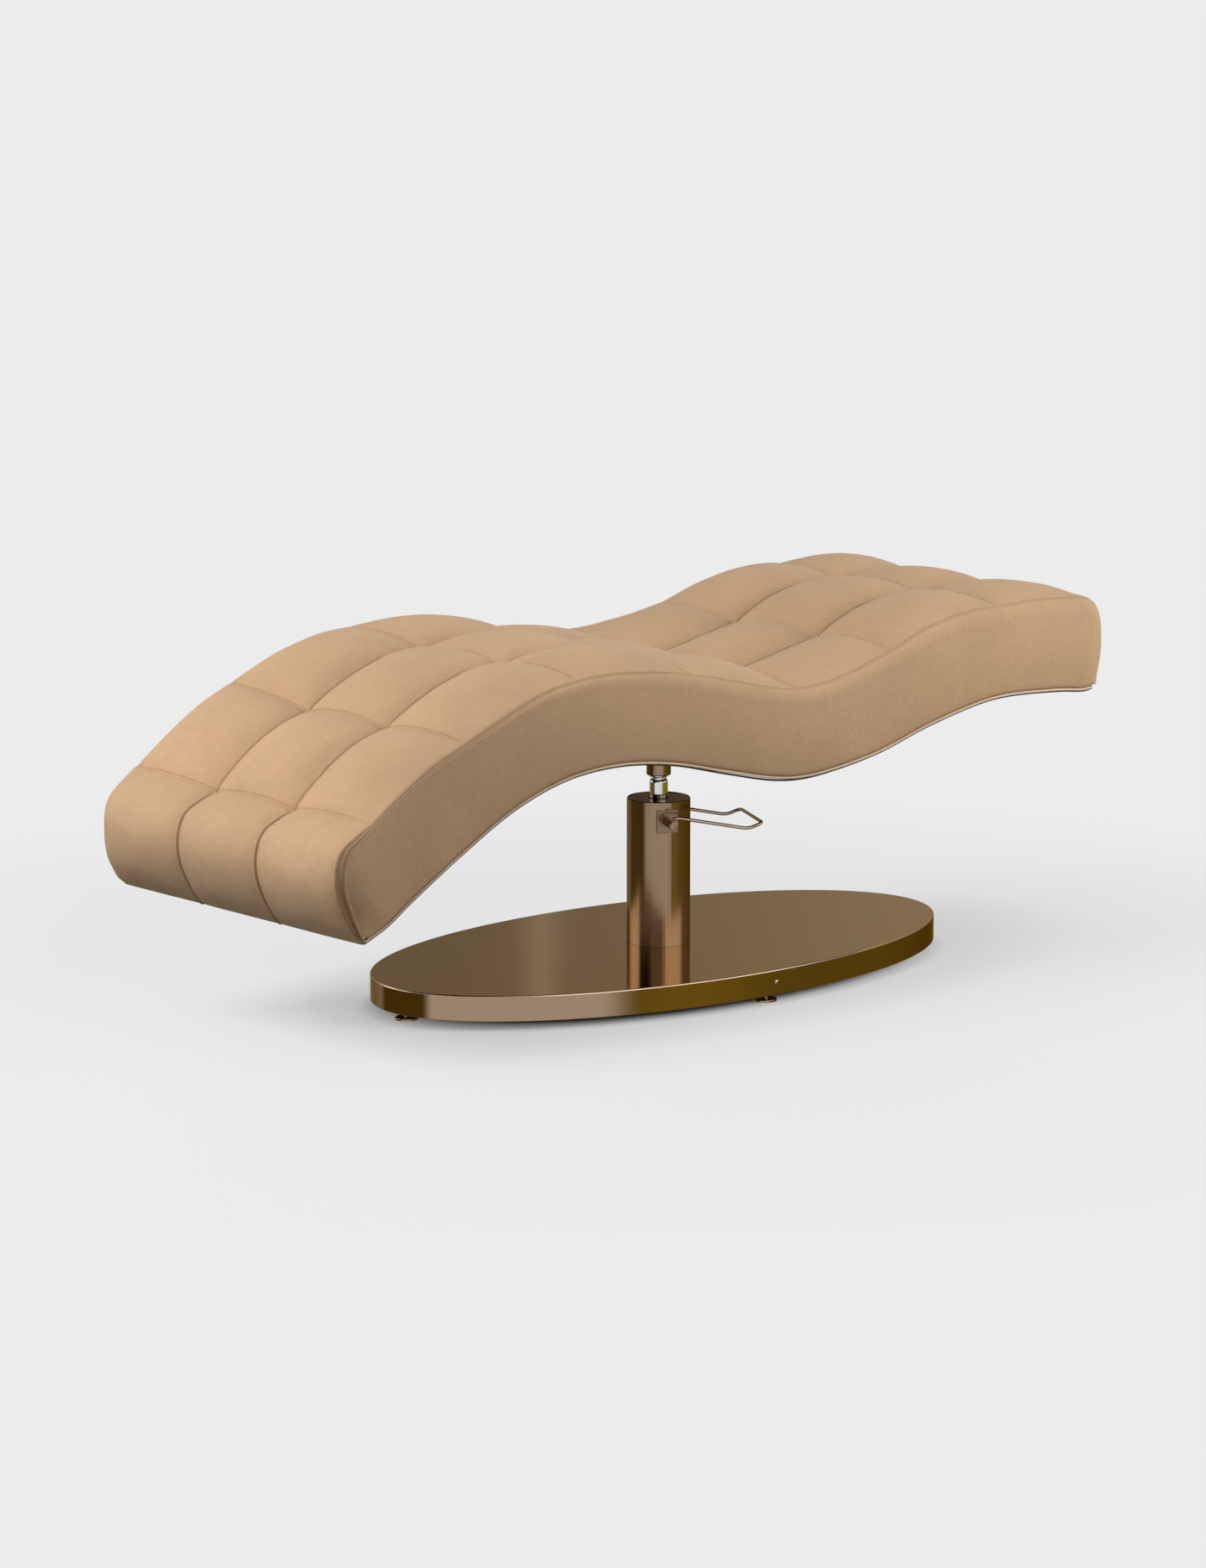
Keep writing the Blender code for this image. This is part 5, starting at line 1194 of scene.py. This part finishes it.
def stage_floor():
    """A floor that the camera sees as pale as the background, but for the shadow at the base, part of it cast
    and part of it painted.
    """
    corners = [(x * FLOOR_SIZE, y * FLOOR_SIZE, 0) for x, y in ((-1, -1), (1, -1), (1, 1), (-1, 1))]
    mesh = mesh_of("studio_floor", corners, [(0, 1, 2, 3)])
    floor = linked("studio_floor", mesh)
    n = Finish("pale_floor")
    n.set(Base_Color=PALE, Roughness=1.0, Specular_IOR_Level=0.0)
    away = n.add("VectorMath", {0: n.coordinates}, operation="LENGTH").outputs["Value"]
    glow = n.add("Emission", {"Color": PALE, "Strength": 1.0}).outputs[0]
    # Under the base hardly any light comes, so there the floor has nearly none of that glow: a painted
    # shadow, with a fainter painted shadow in a ring round the base
    oval = n.add("Mapping", {
        "Vector": n.coordinates, "Location": (-COLUMN_X / BASE_HALF_LENGTH, 0, 0),
        "Scale": (1 / BASE_HALF_LENGTH, 1 / BASE_HALF_WIDTH, 1),
    }).outputs[0]
    out = n.add("VectorMath", {0: oval}, operation="LENGTH").outputs["Value"]
    under = n.times(n.ramp(out, 0.86, 1.05, 0.02, 1.0), n.ramp(out, 1.0, 1.6, 0.72, 1.0))
    level = n.times(under, n.ramp(away, 1.0, 1.9, FLOOR_GLOW, 1.0))
    shown = n.add("MixShader", {0: level, 1: n.shader.outputs[0], 2: glow}).outputs[0]
    dull = n.add("BsdfDiffuse", {"Color": (FLOOR_BOUNCE, FLOOR_BOUNCE, FLOOR_BOUNCE, 1)}).outputs[0]
    path = n.add("LightPath").outputs
    seen = n.math("MAXIMUM", path["Is Camera Ray"], path["Is Glossy Ray"])
    seen = n.math("MAXIMUM", seen, path["Is Transmission Ray"])
    final = n.add("MixShader", {0: seen, 1: dull, 2: shown}).outputs[0]
    n.put(n.tree.nodes["Material Output"].inputs[0], final)
    mesh.materials.append(n.material)
    floor.visible_glossy = False


def area_light(name, place, target, size, power):
    data = bpy.data.lights.new(name, "AREA")
    data.shape = "RECTANGLE"
    data.size, data.size_y = size, size
    data.energy = power
    data.spread = math.pi
    made = aimed(name, data, place, Vector(target) - Vector(place))
    made.visible_camera = False
    made.visible_glossy = False


class Sky(Tree):
    """The world's nodes, with smooth steps between its parts."""

    def step(self, value, low, high, start=0.0, end=1.0):
        return self.ramp(value, low, high, start, end, interpolation_type="SMOOTHSTEP")

    def window(self, value, low, high, soft):
        rise, fall = self.step(value, low - soft, low + soft), self.step(value, high + soft, high - soft)
        return self.times(rise, fall)

    def rest(self, share):
        return self.math("SUBTRACT", 1.0, share)

    def degrees(self, operation, *values):
        return self.math("DEGREES", self.math(operation, *values))

    def light(self, colour, level):
        return self.add("Background", {"Color": (*colour, 1), "Strength": level}).outputs[0]


def world():
    """One colour for the camera, soft light on matt things, and a studio's panels for metal to reflect."""
    made = bpy.data.worlds.new("studio")
    bpy.context.scene.world = made
    made.use_nodes = True
    made.node_tree.nodes.clear()
    n = Sky(made.node_tree)
    way = n.add("TexCoord").outputs["Generated"]
    height = n.degrees("ARCSINE", n.add("SeparateXYZ", {0: way}).outputs[2])
    turn = {"Vector": way, "Angle": math.pi / 2 - TO_CAMERA}
    local = n.add("SeparateXYZ", {0: n.add("VectorRotate", turn, rotation_type="Z_AXIS").outputs[0]}).outputs
    right = n.times(local[0], -1.0)
    # Degrees round the object from the side that the photograph shows, then from behind, right of it positive
    angle = n.degrees("ARCTAN2", right, local[1])
    beyond = n.degrees("ARCTAN2", right, n.times(local[1], -1.0))
    below = n.step(height, 4.0, -4.0)
    above = n.rest(below)

    # Under the horizon: a pale sweep in front, dim warm sides
    front = n.window(angle, -51.0, 45.0, 6.0)
    sweep = n.plus(n.times(front, BACKGROUND), n.times(n.step(angle, -116.0, -126.0), 0.34))
    sides = n.plus(n.step(angle, -20.0, 20.0, 0.12, 0.22), n.times(n.window(angle, 50.0, 75.0, 10.0), 0.10))
    dim = n.times(sides, n.rest(front))
    # Over it: two tall panels at the sides, a wall behind that grows lighter to the right, and the ceiling
    panels = n.plus(n.window(angle, -124.0, -74.0, 10.0), n.window(angle, 22.0, 90.0, 9.0))
    panels = n.times(n.times(panels, n.window(height, 3.0, 28.0, 6.0)), PANEL_LEVEL)
    behind = n.step(beyond, -2.5, 4.0, 0.46, BACKGROUND)
    strip = n.times(n.window(beyond, -1.25, -1.03, 0.06), STRIP_LEVEL)
    near_middle = n.window(beyond, -12.0, 12.0, 4.0)
    wall = n.plus(n.times(near_middle, behind), n.times(n.rest(near_middle), BACKGROUND))
    overhead = n.step(height, 35.0, 70.0, 0.0, 0.9)
    light = n.light(SOFT_WHITE, n.plus(n.times(below, sweep), n.times(above, n.plus(wall, overhead))))
    warm = n.light(WARM, n.times(below, dim))
    cool = n.light(COOL, n.times(above, n.plus(panels, strip)))

    glossy = n.add("AddShader", {0: n.add("AddShader", {0: light, 1: warm}).outputs[0], 1: cool}).outputs[0]
    path = n.add("LightPath").outputs
    shown = n.math("MAXIMUM", path["Is Camera Ray"], path["Is Transmission Ray"])
    lit = n.add("MixShader", {0: path["Is Glossy Ray"], 1: n.light(WHITE, AMBIENT), 2: glossy}).outputs[0]
    final = n.add("MixShader", {0: shown, 1: lit, 2: n.light(PALE[:3], 1.0)}).outputs[0]
    n.add("OutputWorld", {"Surface": final})


stage_floor()
world()
area_light("overhead", (-0.3, -0.4, 4.5), (0, 0, 0.3), 5, 30)
area_light("left_high", (-4.0, 0.8, 3.6), (0, 0, 0.4), 2.5, 216)
area_light("right_front", (2.6, -3.0, 1.6), (0.6, 0, 0.5), 1.8, 110)

bpy.context.scene.view_settings.view_transform = "Standard"
